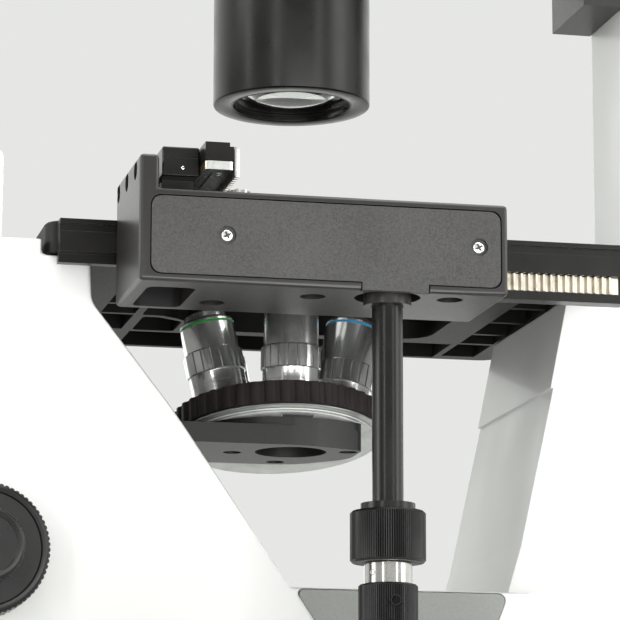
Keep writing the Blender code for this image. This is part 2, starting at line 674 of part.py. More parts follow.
def stand():
    """The white casting: base, sloped front arm and rear column in one U."""
    stage_seat = OBJECT_PLANE_Z + STAGE_BOTTOM - SEAT_GAP
    arm_middle_z = 0.1346
    arm_middle_y = -0.0669
    shoulder_y = COLUMN_FOOT_Y + COLUMN_SHOULDER_STEP
    shoulder_z = BASE_FLOOR_Z + COLUMN_SHOULDER_RISE

    def column_face(z):
        return shoulder_y + (COLUMN_TOP_Y - shoulder_y) * (z - shoulder_z) / (stage_seat - shoulder_z)

    side = rounded([
        (BASE_FRONT_Y, BASE_BOTTOM_Z, 0.004),
        (BASE_REAR_Y, BASE_BOTTOM_Z, 0.004),
        (BASE_REAR_Y, 0.0900, 0.020),
        (BASE_REAR_Y - 0.006, stage_seat, 0.006),
        (COLUMN_TOP_Y, stage_seat, 0.0),
        (shoulder_y, shoulder_z, 0.010),
        (COLUMN_FOOT_Y, BASE_FLOOR_Z, 0.002),
        (ARM_FOOT_Y, BASE_FLOOR_Z, 0.002),
        (arm_middle_y, arm_middle_z, 0.300),
        (ARM_EDGE_TOP_Y, OBJECT_PLANE_Z - 0.0370, 0.010),
        (ARM_EDGE_TOP_Y - 0.001, stage_seat, 0.0),
        (STAGE_FRONT_Y - 0.0015, stage_seat, 0.0),
        (STAGE_FRONT_Y - 0.0015, stage_seat + 0.010, 0.004),
        (ARM_TOP_REAR_Y, stage_seat + 0.010, 0.002),
        (ARM_TOP_REAR_Y, ARM_TOP_Z, 0.004),
        (ARM_TOP_FRONT_Y, ARM_TOP_Z, 0.008),
        (ARM_TOP_FRONT_Y, 0.2050, 0.050),
    ])
    body = outline("stand_casting", [side], -BASE_HALF_WIDTH, BASE_HALF_WIDTH, MICROSCOPE, "YZ")
    soften(body, STAND_EDGE_RADIUS, 2, 50)
    wide = BASE_HALF_WIDTH + CUT_THROUGH
    for sign, word in ((-1, "left"), (1, "right")):
        low = min(sign * COLUMN_HALF_WIDTH, sign * wide)
        high = max(sign * COLUMN_HALF_WIDTH, sign * wide)
        beside = rounded([
            (COLUMN_FOOT_Y - 0.012, BASE_FLOOR_Z, 0.004),
            (BASE_REAR_Y + 0.010, BASE_FLOOR_Z, 0.0),
            (BASE_REAR_Y + 0.010, stage_seat + 0.010, 0.0),
            (COLUMN_FOOT_Y - 0.012, stage_seat + 0.010, 0.0),
        ])
        cut(body, outline("beside_column_" + word, [beside], low, high, MICROSCOPE, "YZ"))
        low = min(sign * ARM_TOP_HALF_WIDTH, sign * wide)
        high = max(sign * ARM_TOP_HALF_WIDTH, sign * wide)
        shoulder = outline(
            "beside_head_" + word,
            [rounded([
                (ARM_TOP_FRONT_Y - 0.010, stage_seat + 0.006, 0.0),
                (ARM_TOP_REAR_Y + 0.030, stage_seat + 0.006, 0.0),
                (ARM_TOP_REAR_Y + 0.030, ARM_TOP_Z + 0.010, 0.0),
                (ARM_TOP_FRONT_Y - 0.010, ARM_TOP_Z + 0.010, 0.0),
            ])],
            low, high, MICROSCOPE, "YZ",
        )
        cut(body, shoulder)
        cut(body, panel_shape("panel_recess_" + word, sign, COVER_GAP, CUT_THROUGH))
    crease = outline(
        "column_crease",
        [[
            (COLUMN_FOOT_Y - 0.020, shoulder_z),
            (column_face(shoulder_z), shoulder_z),
            (column_face(COLUMN_CREASE_Z) + CREASE_STEP, COLUMN_CREASE_Z),
            (COLUMN_FOOT_Y - 0.020, COLUMN_CREASE_Z),
        ]],
        -wide, wide, MICROSCOPE, "YZ",
    )
    cut(body, crease)
    slot_low = OBJECT_PLANE_Z + NOSE_BAR_BOTTOM - FOCUS_TRAVEL_DOWN - 0.0250
    slot_high = OBJECT_PLANE_Z + NOSE_BAR_TOP + FOCUS_TRAVEL_UP + 0.0250
    cut(body, box(
        "focus_well", (NOSE_BAR_FAR_X - SLOT_EASE, NOSE_BAR_ROOT_Y - SLOT_EASE, slot_low),
        (NOSE_BAR_NEAR_X + SLOT_EASE, ARM_FOOT_Y, slot_high), MICROSCOPE,
    ))
    way_half = FOCUS_BLOCK_HALF_WIDTH + RUN_GAP
    way_back = NOSE_BAR_ROOT_Y - FOCUS_BLOCK_DEPTH - RUN_GAP
    cut(body, box(
        "focus_way", (-way_half, way_back, slot_low), (way_half, NOSE_BAR_ROOT_Y, slot_high), MICROSCOPE
    ))
    cut(body, rod(
        "focus_bore", FOCUS_TUBE_RADIUS + RUN_GAP, -wide, wide, (0, FOCUS_Y, FOCUS_Z), MICROSCOPE, "X"
    ))
    cut(body, rod(
        "port_seat", PORT_RADIUS + SEAT_GAP, BASE_FLOOR_Z - PORT_RECESS, BASE_FLOOR_Z + 0.010,
        (0, 0, 0), MICROSCOPE,
    ))
    cut(body, box(
        "inlet_seat",
        (INLET_X - INLET_WIDTH / 2 - SEAT_GAP, BASE_REAR_Y - INLET_DEPTH, INLET_Z - INLET_HEIGHT / 2 - SEAT_GAP),
        (INLET_X + INLET_WIDTH / 2 + SEAT_GAP, BASE_REAR_Y + 0.010, INLET_Z + INLET_HEIGHT / 2 + SEAT_GAP),
        MICROSCOPE,
    ))
    switch_room = SWITCH_HEIGHT / 2 + SWITCH_EASE
    cut(body, box(
        "switch_seat",
        (SWITCH_X - SWITCH_WIDTH / 2 - RUN_GAP, BASE_REAR_Y - SWITCH_SEAT_DEPTH, INLET_Z - switch_room),
        (SWITCH_X + SWITCH_WIDTH / 2 + RUN_GAP, BASE_REAR_Y + 0.010, INLET_Z + switch_room),
        MICROSCOPE,
    ))
    finish(body, WHITE_ENAMEL, 0.35)


def panel_shape(name, sign, grow, proud):
    """The outline of a side panel, also the tool that sinks its recess."""
    top = BASE_FLOOR_Z - PANEL_TOP_DROP - 0.0006 + grow
    bottom = PANEL_BOTTOM_Z - grow
    corners = [
        (PANEL_FRONT_Y - grow, bottom, 0.004),
        (PANEL_REAR_FOOT_Y - 0.010 + grow, bottom, 0.004),
        (PANEL_REAR_TOP_Y + grow, top, 0.003),
        (ARM_FOOT_Y + 0.0015 - grow, top, 0.002),
        (ARM_FOOT_Y + 0.0180 - grow, PANEL_FRONT_TOP_Z + grow, 0.006),
        (PANEL_FRONT_Y - grow, PANEL_FRONT_TOP_Z + grow, 0.006),
    ]
    inner = sign * (BASE_HALF_WIDTH - PANEL_THICKNESS - (SEAT_GAP if grow else 0.0))
    outer = sign * (BASE_HALF_WIDTH + proud)
    return outline(name, [rounded(corners)], min(inner, outer), max(inner, outer), MICROSCOPE, "YZ")


def side_panels():
    """Grey panels let into the two sides of the base."""
    for sign, word in ((-1, "left"), (1, "right")):
        panel = panel_shape("side_panel_" + word, sign, 0.0, PANEL_PROUD)
        finish(panel, GREY_TEXTURE, 0.55)


def base_plate():
    """The black bottom plate and its four rubber feet."""
    plate = outline(
        "base_plate",
        [rectangle(
            -BASE_HALF_WIDTH + 0.002, BASE_FRONT_Y + 0.002, BASE_HALF_WIDTH - 0.002, BASE_REAR_Y - 0.002, 0.010
        )],
        FOOT_HEIGHT + SEAT_GAP, FOOT_HEIGHT + BASE_PLATE_THICKNESS, MICROSCOPE,
    )
    finish(plate, BLACK_ENAMEL, 0.5)
    for x_sign, side in ((-1, "left"), (1, "right")):
        for y, end in ((BASE_FRONT_Y + FOOT_INSET, "front"), (BASE_REAR_Y - FOOT_INSET, "rear")):
            x = x_sign * (BASE_HALF_WIDTH - FOOT_INSET)
            foot = turned(
                "foot_" + end + "_" + side,
                [
                    (0, FOOT_HEIGHT), (FOOT_RADIUS, FOOT_HEIGHT), (FOOT_RADIUS, 0.0015),
                    (FOOT_RADIUS - 0.0015, 0), (0, 0),
                ],
                MICROSCOPE, (x, y, 0), 16,
            )
            finish(foot, RUBBER, 0.8)


def base_fittings():
    """Light port, mains inlet, rocker switch and brightness knob."""
    port = turned(
        "light_port_window",
        [
            (0, PORT_HEIGHT - PORT_RECESS), (PORT_RADIUS - 0.003, PORT_HEIGHT - PORT_RECESS),
            (PORT_RADIUS - 0.003, PORT_HEIGHT - PORT_RECESS + 0.0015),
            (PORT_RADIUS, PORT_HEIGHT - PORT_RECESS + 0.0010), (PORT_RADIUS, SEAT_GAP - PORT_RECESS),
            (0, SEAT_GAP - PORT_RECESS),
        ],
        MICROSCOPE, (0, 0, BASE_FLOOR_Z),
    )
    finish(port, GLASS, 0.1)
    half_width = INLET_WIDTH / 2
    half_height = INLET_HEIGHT / 2
    inlet = outline(
        "power_inlet",
        [rounded([
            (INLET_X - half_width, INLET_Z - half_height, 0.001),
            (INLET_X + half_width, INLET_Z - half_height, 0.001),
            (INLET_X + half_width, INLET_Z + half_height, 0.001),
            (INLET_X - half_width, INLET_Z + half_height, 0.001),
        ], 2)],
        BASE_REAR_Y - INLET_DEPTH + SEAT_GAP, BASE_REAR_Y, MICROSCOPE, "XZ",
    )
    socket = outline(
        "inlet_socket",
        [rounded([
            (INLET_X - half_width + 0.003, INLET_Z - half_height + 0.003, 0.001),
            (INLET_X + half_width - 0.003, INLET_Z - half_height + 0.003, 0.001),
            (INLET_X + half_width - 0.003, INLET_Z + half_height - 0.007, 0.001),
            (INLET_X + half_width - 0.007, INLET_Z + half_height - 0.003, 0.001),
            (INLET_X - half_width + 0.007, INLET_Z + half_height - 0.003, 0.001),
            (INLET_X - half_width + 0.003, INLET_Z + half_height - 0.007, 0.001),
        ], 2)],
        BASE_REAR_Y - 0.0125, BASE_REAR_Y + CUT_THROUGH, MICROSCOPE, "XZ",
    )
    pins = boxes(
        "inlet_pins",
        [
            ((x - 0.001, BASE_REAR_Y - 0.0135, z - 0.002), (x + 0.001, BASE_REAR_Y - 0.0030, z + 0.002))
            for x, z in (
                (INLET_X - 0.007, INLET_Z - 0.001), (INLET_X, INLET_Z + 0.0025), (INLET_X + 0.007, INLET_Z - 0.001)
            )
        ],
        MICROSCOPE,
    )
    cut(inlet, socket)
    fuse(inlet, pins)
    finish(inlet, BLACK_ENAMEL, 0.4)
    lift = math.tan(math.radians(SWITCH_ROCK)) * SWITCH_HEIGHT / 2
    rock_axis = empty(
        "switch_axis", MICROSCOPE, (SWITCH_X, BASE_REAR_Y - SWITCH_AXIS_DEPTH, INLET_Z),
        (math.radians(SWITCH_ROCK), 0, 0),
    )
    half = SWITCH_HEIGHT / 2
    front = SWITCH_AXIS_DEPTH + SWITCH_PROUD
    rocker = outline(
        "power_switch",
        [[
            (-SWITCH_BACK, -half), (front, -half), (front - lift, 0), (front, half), (-SWITCH_BACK, half),
            (-SWITCH_BACK - SWITCH_PROUD, 0),
        ]],
        -SWITCH_WIDTH / 2, SWITCH_WIDTH / 2, rock_axis, "YZ",
    )
    finish(rocker, BLACK_ENAMEL, 0.35)
    dimmer_axis = empty("dimmer_axis", MICROSCOPE, (BASE_HALF_WIDTH, DIMMER_Y, DIMMER_Z))
    dimmer = outline(
        "brightness_knob", [knurled(DIMMER_RADIUS, KNURL_DEPTH, 20)], SEAT_GAP, DIMMER_LENGTH, dimmer_axis, "YZ"
    )
    finish(dimmer, BLACK_ENAMEL, 0.45)


def stage():
    """The fixed stage: a cast plate on ribs, open over the nosepiece."""
    plate = outline(
        "stage_plate",
        [rectangle(STAGE_LEFT_X, STAGE_FRONT_Y, STAGE_RIGHT_X, STAGE_REAR_Y, STAGE_CORNER)],
        STAGE_BOTTOM, STAGE_TOP, PLANE,
    )
    soften(plate, 0.0006, 1, 60)
    pocket_top = STAGE_TOP - STAGE_SKIN
    below = STAGE_BOTTOM - CUT_THROUGH
    opening = outline(
        "stage_opening",
        [rounded([
            (-OPENING_HALF_WIDTH, OPENING_LEFT_FRONT_Y, 0.004),
            (OPENING_STEP_X - 0.0095, OPENING_LEFT_FRONT_Y, 0.006),
            (OPENING_STEP_X, OPENING_LEFT_FRONT_Y - 0.0140, 0.008),
            (OPENING_STEP_X, OPENING_FRONT_Y, 0.002),
            (OPENING_HALF_WIDTH, OPENING_FRONT_Y, OPENING_CORNER),
            (OPENING_HALF_WIDTH, OPENING_REAR_Y, OPENING_CORNER),
            (-OPENING_HALF_WIDTH, OPENING_REAR_Y, OPENING_CORNER),
        ])],
        below, pocket_top, PLANE,
    )
    cut(plate, opening)
    hole = INSERT_RADIUS - INSERT_LEDGE
    cut(plate, rod("stage_hole", hole, below, STAGE_TOP + CUT_THROUGH, (0, 0, 0), PLANE, sides=48))
    ledge = STAGE_TOP - INSERT_THICKNESS - SEAT_GAP
    cut(plate, rod(
        "insert_recess", INSERT_RADIUS + RUN_GAP, ledge, STAGE_TOP + CUT_THROUGH, (0, 0, 0), PLANE, sides=48
    ))
    half_rib = STAGE_RIB / 2
    rear_ribs = (-0.0975, -0.0640, -0.0400, -0.0110, 0.0220, 0.0560, 0.0880)
    front_ribs = (-0.0635, -0.0265, -0.0040, 0.0300, 0.0640, 0.0900)
    spans = []
    for low, high in zip(rear_ribs, rear_ribs[1:]):
        spans.append(((low + half_rib, 0.0930, below), (high - half_rib, 0.1090, pocket_top)))
    for low, high in zip(front_ribs, front_ribs[1:]):
        spans.append(((low + half_rib, -0.0795, below), (high - half_rib, -0.0645, pocket_top)))
    spans.append(((0.0640, -0.0590, below), (0.0885, -0.0405, pocket_top)))
    spans.append(((0.0640, -0.0375, below), (0.0885, 0.0200, pocket_top)))
    spans.append(((0.0640, 0.0230, below), (0.0885, 0.0900, pocket_top)))
    for low, high in ((-0.0600, -0.0200), (-0.0170, 0.0330), (0.0360, 0.0900)):
        spans.append(((STAGE_LEFT_X + 0.0045, low, below), (-OPENING_HALF_WIDTH - 0.0085, high, pocket_top)))
    cut(plate, boxes("stage_pockets", spans, PLANE))
    cut(plate, outline(
        "corner_pocket",
        [rounded([
            (-0.0628, -0.0597, 0.002), (-0.0318, -0.0597, 0.002), (-0.0318, -0.0525, 0.004),
            (-0.0398, -0.0408, 0.004), (-0.0628, -0.0408, 0.002),
        ], 3)],
        below, pocket_top, PLANE,
    ))
    finish(plate, BLACK_ENAMEL, 0.55)
    insert = turned(
        "stage_insert",
        [
            (INSERT_RADIUS, 0), (INSERT_RADIUS, -INSERT_THICKNESS),
            (INSERT_HOLE_RADIUS + 0.002, -INSERT_THICKNESS), (INSERT_HOLE_RADIUS, -0.0010),
            (INSERT_HOLE_RADIUS, 0),
        ],
        PLANE, (0, 0, STAGE_TOP), 40, closed=True,
    )
    finish(insert, BLACK_ANODISED, 0.4, 0.5)


def y_rail():
    """The fixed rail along the stage's right side and the bronze rack in it."""
    back = RAIL_INNER_X + RAIL_BACK
    groove_top = RAIL_TOP - 0.0020
    section = [
        (RAIL_INNER_X, RAIL_BOTTOM), (RAIL_OUTER_X, RAIL_BOTTOM), (RAIL_OUTER_X, RAIL_LOWER_LIP),
        (back, RAIL_LOWER_LIP), (back, RAIL_LIP), (RAIL_OUTER_X, RAIL_LIP),
        (RAIL_OUTER_X, groove_top - 0.0030), (RAIL_OUTER_X - RAIL_GROOVE, groove_top - 0.0030),
        (RAIL_OUTER_X - RAIL_GROOVE, groove_top), (RAIL_OUTER_X, groove_top),
        (RAIL_OUTER_X, RAIL_TOP), (RAIL_INNER_X, RAIL_TOP),
    ]
    rail = outline("y_rail", [section], RAIL_FRONT_Y, RAIL_REAR_Y, PLANE, "XZ")
    cut(rail, box(
        "rail_front_cut",
        (RAIL_INNER_X - CUT_THROUGH, RAIL_FRONT_Y - CUT_THROUGH, RAIL_BOTTOM - CUT_THROUGH),
        (RAIL_OUTER_X + CUT_THROUGH, Y_RACK_FRONT_Y - 0.0010, RAIL_FRONT_BOTTOM),
        PLANE,
    ))
    finish(rail, BLACK_ANODISED, 0.4, 0.3)
    teeth = rack_outline(
        MODULE, -Y_RACK_REAR_Y, -Y_RACK_FRONT_Y, -DRIVE_Y, Y_RACK_PITCH_X, back + SEAT_GAP
    )
    rack = outline("y_rack", [teeth], RAIL_LOWER_LIP + SEAT_GAP, RAIL_LIP - SEAT_GAP, PLANE)
    rack.rotation_euler.z = -math.pi / 2
    finish(rack, BRONZE, 0.35, 0.9)


def x_gear_places():
    """Centres of the X gears: driver on the shaft, middle gear and last gear beside the bar's rack."""
    driver = MODULE * X_DRIVER_TEETH / 2
    middle = MODULE * X_MIDDLE_TEETH / 2
    last = MODULE * X_LAST_TEETH / 2
    reach = driver + 2 * middle + last
    across = X_RACK_PITCH_Y + MODULE * X_PINION_TEETH / 2 - DRIVE_Y
    along = -math.sqrt(reach * reach - across * across)
    heading = math.atan2(across, along)
    first = driver + middle
    middle_place = (DRIVE_X + first * math.cos(heading), DRIVE_Y + first * math.sin(heading))
    last_place = (DRIVE_X + reach * math.cos(heading), DRIVE_Y + reach * math.sin(heading))
    return middle_place, last_place, heading


def y_idler_place():
    return (Y_RACK_PITCH_X + MODULE * Y_IDLER_TEETH / 2, DRIVE_Y)


def cover_outline():
    """The cover plate with its tab down to the shaft."""
    front = BLOCK_FRONT_Y + COVER_FRONT_MARGIN
    rear = BLOCK_REAR_Y - COVER_MARGIN
    top = BLOCK_TOP - COVER_MARGIN
    bottom = BLOCK_BOTTOM + COVER_MARGIN
    return rounded([
        (front, bottom, COVER_CORNER),
        (DRIVE_Y - COVER_TAB_HALF_WIDTH, bottom, 0.0),
        (DRIVE_Y - COVER_TAB_HALF_WIDTH, BLOCK_BOTTOM, 0.0),
        (DRIVE_Y + COVER_TAB_HALF_WIDTH, BLOCK_BOTTOM, 0.0),
        (DRIVE_Y + COVER_TAB_HALF_WIDTH, bottom, 0.0),
        (rear, bottom, COVER_CORNER),
        (rear, top, COVER_CORNER),
        (front, top, COVER_CORNER),
    ])


def drive_block():
    """The Y carriage: a deep block with a raised end wall, a gear cavity and a flush cover."""
    side = [
        (BLOCK_FRONT_Y, BLOCK_BOTTOM), (BLOCK_REAR_Y, BLOCK_BOTTOM), (BLOCK_REAR_Y, BLOCK_TOP),
        (BLOCK_FRONT_Y + EAR_THICKNESS, BLOCK_TOP), (BLOCK_FRONT_Y + EAR_THICKNESS, EAR_TOP),
        (BLOCK_FRONT_Y, EAR_TOP),
    ]
    block = outline("drive_block", [side], BLOCK_INNER_X, BLOCK_OUTER_X, CARRIAGE, "YZ")
    soften(block, BLOCK_EDGE, 2, 60)
    recess = BLOCK_OUTER_X - COVER_THICKNESS - SEAT_GAP
    outside = BLOCK_OUTER_X + CUT_THROUGH
    cut(block, outline("cover_recess", [rectangle(
        BLOCK_FRONT_Y + COVER_FRONT_MARGIN - COVER_GAP, BLOCK_BOTTOM + COVER_MARGIN - COVER_GAP,
        BLOCK_REAR_Y - COVER_MARGIN + COVER_GAP, BLOCK_TOP - COVER_MARGIN + COVER_GAP, COVER_CORNER
    )], recess, outside, CARRIAGE, "YZ"))
    tab = COVER_TAB_HALF_WIDTH + COVER_GAP
    cut(block, box(
        "tab_recess", (recess, DRIVE_Y - tab, BLOCK_BOTTOM - CUT_THROUGH),
        (outside, DRIVE_Y + tab, BLOCK_BOTTOM + COVER_MARGIN + CUT_THROUGH), CARRIAGE,
    ))
    cut(block, box(
        "gear_cavity",
        (BLOCK_INNER_X + BLOCK_WALL, CAVITY_FRONT_Y, CAVITY_FLOOR), (outside, CAVITY_REAR_Y, CAVITY_CEILING),
        CARRIAGE,
    ))
    idler_x, idler_y = y_idler_place()
    window = MODULE * Y_IDLER_TEETH / 2 - 0.0020
    cut(block, box(
        "idler_window",
        (BLOCK_INNER_X - CUT_THROUGH, idler_y - window, Y_GEAR_LOW - 0.0015),
        (BLOCK_INNER_X + BLOCK_WALL + CUT_THROUGH, idler_y + window, Y_GEAR_HIGH + 0.0015), CARRIAGE,
    ))
    cut(block, rod(
        "shaft_recess", RECESS_RADIUS, BLOCK_BOTTOM - CUT_THROUGH, BLOCK_BOTTOM + RECESS_DEPTH,
        (DRIVE_X, DRIVE_Y, 0), CARRIAGE,
    ))
    fuse(block, rod(
        "shaft_bearing", BEARING_RADIUS, BLOCK_BOTTOM - BEARING_DROP, CAVITY_FLOOR - 0.0005,
        (DRIVE_X, DRIVE_Y, 0), CARRIAGE,
    ))
    cut(block, rod(
        "shaft_bore", TUBE_RADIUS + RUN_GAP, BLOCK_BOTTOM - 0.020, CAVITY_CEILING + 0.0010,
        (DRIVE_X, DRIVE_Y, 0), CARRIAGE,
    ))
    middle, last, _ = x_gear_places()
    hole = GEAR_SHAFT_RADIUS + RUN_GAP
    cut(block, rod("last_gear_hole", hole, CAVITY_FLOOR - 0.004, 0.0, (*last, 0), CARRIAGE, sides=14))
    cut(block, rod(
        "middle_gear_hole", hole, CAVITY_CEILING - 0.001, CAVITY_CEILING + 0.0028, (*middle, 0), CARRIAGE, sides=14
    ))
    cut(block, rod(
        "idler_hole", hole, CAVITY_FLOOR - 0.004, CAVITY_FLOOR + 0.001, (idler_x, idler_y, 0), CARRIAGE, sides=14
    ))
    cut(block, outline(
        "front_pocket",
        [rectangle(BLOCK_INNER_X + 0.0050, BLOCK_FRONT_Y + 0.0056, BLOCK_OUTER_X - 0.0120, -0.0690, 0.004)],
        BLOCK_BOTTOM - CUT_THROUGH, BLOCK_BOTTOM + UNDER_POCKET_DEPTH, CARRIAGE,
    ))
    for number, (x, y) in enumerate(((0.1210, -0.0580), (0.1420, -0.0222), (0.1474, 0.0316))):
        cut(block, rod(
            "under_hole_%d" % number, UNDER_HOLE_RADIUS, BLOCK_BOTTOM - CUT_THROUGH,
            BLOCK_BOTTOM + UNDER_HOLE_DEPTH, (x, y, 0), CARRIAGE, sides=14,
        ))
    for number, x in enumerate((0.1085, 0.1285, 0.1490)):
        cut(block, rod(
            "end_hole_%d" % number, END_HOLE_RADIUS, BLOCK_FRONT_Y - CUT_THROUGH,
            BLOCK_FRONT_Y + END_HOLE_DEPTH, (x, 0, END_HOLE_Z), CARRIAGE, "Y", 24,
        ))
    finish(block, BLACK_ENAMEL, 0.5)
    cover = outline(
        "cover_plate", [cover_outline()], BLOCK_OUTER_X - COVER_THICKNESS, BLOCK_OUTER_X, CARRIAGE, "YZ"
    )
    for number, y in enumerate((COVER_SCREW_FRONT_Y, COVER_SCREW_REAR_Y)):
        cut(cover, rod(
            "cover_counterbore_%d" % number, COVER_SCREW_RADIUS, BLOCK_OUTER_X - COVER_SCREW_DEPTH,
            BLOCK_OUTER_X + CUT_THROUGH, (0, y, COVER_SCREW_Z), CARRIAGE, "X", 24,
        ))
    finish(cover, GREY_TEXTURE, 0.6)


def stage_drive():
    """Coaxial shafts with their knobs, and the gears they turn."""
    tube = rod("drive_tube", TUBE_RADIUS, UPPER_KNOB_BOTTOM + 0.001, Y_GEAR_HIGH, (0, 0, 0), DRIVE)
    fuse(tube, outline(
        "y_pinion_teeth", [gear_outline(Y_PINION_TEETH, MODULE, (0, 0), math.pi + math.pi / Y_PINION_TEETH)],
        Y_GEAR_LOW, Y_GEAR_HIGH + 0.0002, DRIVE,
    ))
    fuse(tube, rod(
        "tube_collar", TUBE_COLLAR_RADIUS, UPPER_KNOB_TOP + SEAT_GAP, UPPER_KNOB_TOP + TUBE_COLLAR_HEIGHT,
        (0, 0, 0), DRIVE,
    ))
    cut(tube, rod("tube_bore", TUBE_BORE, UPPER_KNOB_BOTTOM - 0.01, 0.0, (0, 0, 0), DRIVE))
    finish(tube, BLACK_ANODISED, 0.3, 0.4)
    upper = outline("upper_knob", [knurled(UPPER_KNOB_RADIUS)], UPPER_KNOB_BOTTOM, UPPER_KNOB_TOP, DRIVE)
    cut(upper, rod(
        "upper_knob_bore", TUBE_RADIUS + SEAT_GAP, UPPER_KNOB_BOTTOM - 0.01, UPPER_KNOB_TOP + 0.01,
        (0, 0, 0), DRIVE,
    ))
    finish(upper, BLACK_ENAMEL, 0.45)
    heading = x_gear_places()[2]
    shaft = rod("inner_shaft", INNER_SHAFT_RADIUS, LOWER_KNOB_BOTTOM + 0.004, X_GEAR_HIGH, (0, 0, 0), DRIVE)
    fuse(shaft, rod(
        "shaft_neck", NECK_RADIUS, LOWER_KNOB_TOP + SEAT_GAP, UPPER_KNOB_BOTTOM - SEAT_GAP, (0, 0, 0), DRIVE
    ))
    fuse(shaft, outline(
        "x_driver_teeth", [gear_outline(X_DRIVER_TEETH, MODULE, (0, 0), heading)],
        X_GEAR_LOW, X_GEAR_HIGH + 0.0002, DRIVE,
    ))
    finish(shaft, STEEL, 0.3, 0.9)
    lower = outline(
        "lower_knob", [knurled(LOWER_KNOB_RADIUS, KNURL_DEPTH, 26)], LOWER_KNOB_BOTTOM, LOWER_KNOB_TOP, DRIVE
    )
    cut(lower, rod(
        "lower_knob_bore", INNER_SHAFT_RADIUS + SEAT_GAP, LOWER_KNOB_BOTTOM + 0.003, LOWER_KNOB_TOP + 0.01,
        (0, 0, 0), DRIVE,
    ))
    finish(lower, BLACK_ENAMEL, 0.45)
    gears()


def gears():
    """The idler between Y pinion and rack, and the two gears that lead the X motion to the bar."""
    place = y_idler_place()
    idler_axis = empty("y_idler_axis", CARRIAGE, (*place, 0))
    idler = outline("y_idler", [gear_outline(Y_IDLER_TEETH, MODULE)], Y_GEAR_LOW, Y_GEAR_HIGH, idler_axis)
    fuse(idler, rod(
        "idler_stub", GEAR_SHAFT_RADIUS, CAVITY_FLOOR - 0.0035, Y_GEAR_HIGH - 0.001, (0, 0, 0), idler_axis,
        sides=14,
    ))
    finish(idler, BRONZE, 0.35, 0.9)
    middle, last, heading = x_gear_places()
    middle_axis = empty("x_middle_axis", CARRIAGE, (*middle, 0))
    half_step = math.pi / X_MIDDLE_TEETH
    wheel = outline(
        "x_middle_gear", [gear_outline(X_MIDDLE_TEETH, MODULE, (0, 0), heading + math.pi + half_step)],
        X_GEAR_LOW, X_GEAR_HIGH, middle_axis,
    )
    fuse(wheel, rod(
        "middle_stub", GEAR_SHAFT_RADIUS, X_GEAR_LOW + 0.001, CAVITY_CEILING + 0.0025, (0, 0, 0), middle_axis,
        sides=14,
    ))
    finish(wheel, BRONZE, 0.35, 0.9)
    last_axis = empty("x_last_axis", CARRIAGE, (*last, 0))
    final = outline(
        "x_last_gear", [gear_outline(X_LAST_TEETH, MODULE, (0, 0), heading + math.pi)],
        X_GEAR_LOW, X_GEAR_HIGH, last_axis,
    )
    fuse(final, rod(
        "last_stub", GEAR_SHAFT_RADIUS, CAVITY_FLOOR - 0.0035, PINION_HIGH - 0.001, (0, 0, 0), last_axis,
        sides=14,
    ))
    fuse(final, outline(
        "rack_pinion_teeth", [gear_outline(X_PINION_TEETH, MODULE, (0, 0), -math.pi / 2)],
        PINION_LOW, PINION_HIGH, last_axis,
    ))
    finish(final, STEEL, 0.3, 0.9)


def x_motion():
    """Guide on the block, bar, polished plate, rack and the specimen holder."""
    guide = box(
        "x_guide", (GUIDE_FAR_X, GUIDE_FRONT_Y, GUIDE_BOTTOM),
        (GUIDE_NEAR_X, GUIDE_FRONT_Y + GUIDE_WIDTH, BAR_TOP), CARRIAGE,
    )
    soften(guide, 0.0005, 1, 60)
    fuse(guide, box(
        "guide_foot", (GUIDE_FOOT_FAR_X, GUIDE_FRONT_Y + 0.001, BLOCK_TOP + SEAT_GAP),
        (GUIDE_FOOT_NEAR_X, GUIDE_FRONT_Y + GUIDE_WIDTH - 0.001, GUIDE_BOTTOM + 0.003), CARRIAGE,
    ))
    cut(guide, box(
        "guide_strip_line",
        (GUIDE_NEAR_X - 0.0004, GUIDE_FRONT_Y - CUT_THROUGH, BAR_TOP - GUIDE_STRIP - 0.0003),
        (GUIDE_NEAR_X + CUT_THROUGH, GUIDE_FRONT_Y + GUIDE_WIDTH + CUT_THROUGH, BAR_TOP - GUIDE_STRIP),
        CARRIAGE,
    ))
    finish(guide, BLACK_ANODISED, 0.4, 0.2)
    rear = BAR_FRONT_Y + BAR_WIDTH
    section = [
        (BAR_FRONT_Y, BAR_BOTTOM), (rear, BAR_BOTTOM), (rear, BAR_TOP - BAR_NOTCH),
        (rear - BAR_NOTCH, BAR_TOP - BAR_NOTCH), (rear - BAR_NOTCH, BAR_TOP), (BAR_FRONT_Y, BAR_TOP),
    ]
    bar = outline("x_bar", [section], BAR_FAR_X, BAR_NEAR_X, BAR, "YZ")
    finish(bar, BLACK_ANODISED, 0.4, 0.2)
    plate_top = BAR_BOTTOM - SEAT_GAP
    plate = outline(
        "bar_plate",
        [rectangle(BAR_FAR_X + 0.002, BAR_FRONT_Y, BAR_NEAR_X, rear, BAR_PLATE_CORNER, 4)],
        plate_top - BAR_PLATE_THICKNESS, plate_top, BAR,
    )
    groove_y = BAR_FRONT_Y + 0.0032
    cut(plate, box(
        "plate_groove",
        (0.0600, groove_y, plate_top - BAR_PLATE_THICKNESS - CUT_THROUGH),
        (BAR_NEAR_X - 0.0060, groove_y + BAR_GROOVE_WIDTH, plate_top - BAR_PLATE_THICKNESS + 0.0008), BAR,
    ))
    finish(plate, CHROME, 0.25, 1.0)
    last = x_gear_places()[1]
    teeth = rack_outline(
        MODULE, X_RACK_FAR_X, BAR_NEAR_X - SEAT_GAP, last[0], X_RACK_PITCH_Y, rear + SEAT_GAP
    )
    rack = outline("x_rack", [teeth], X_RACK_LOW, X_RACK_HIGH, BAR)
    finish(rack, STEEL, 0.35, 0.9)
    specimen_holder()


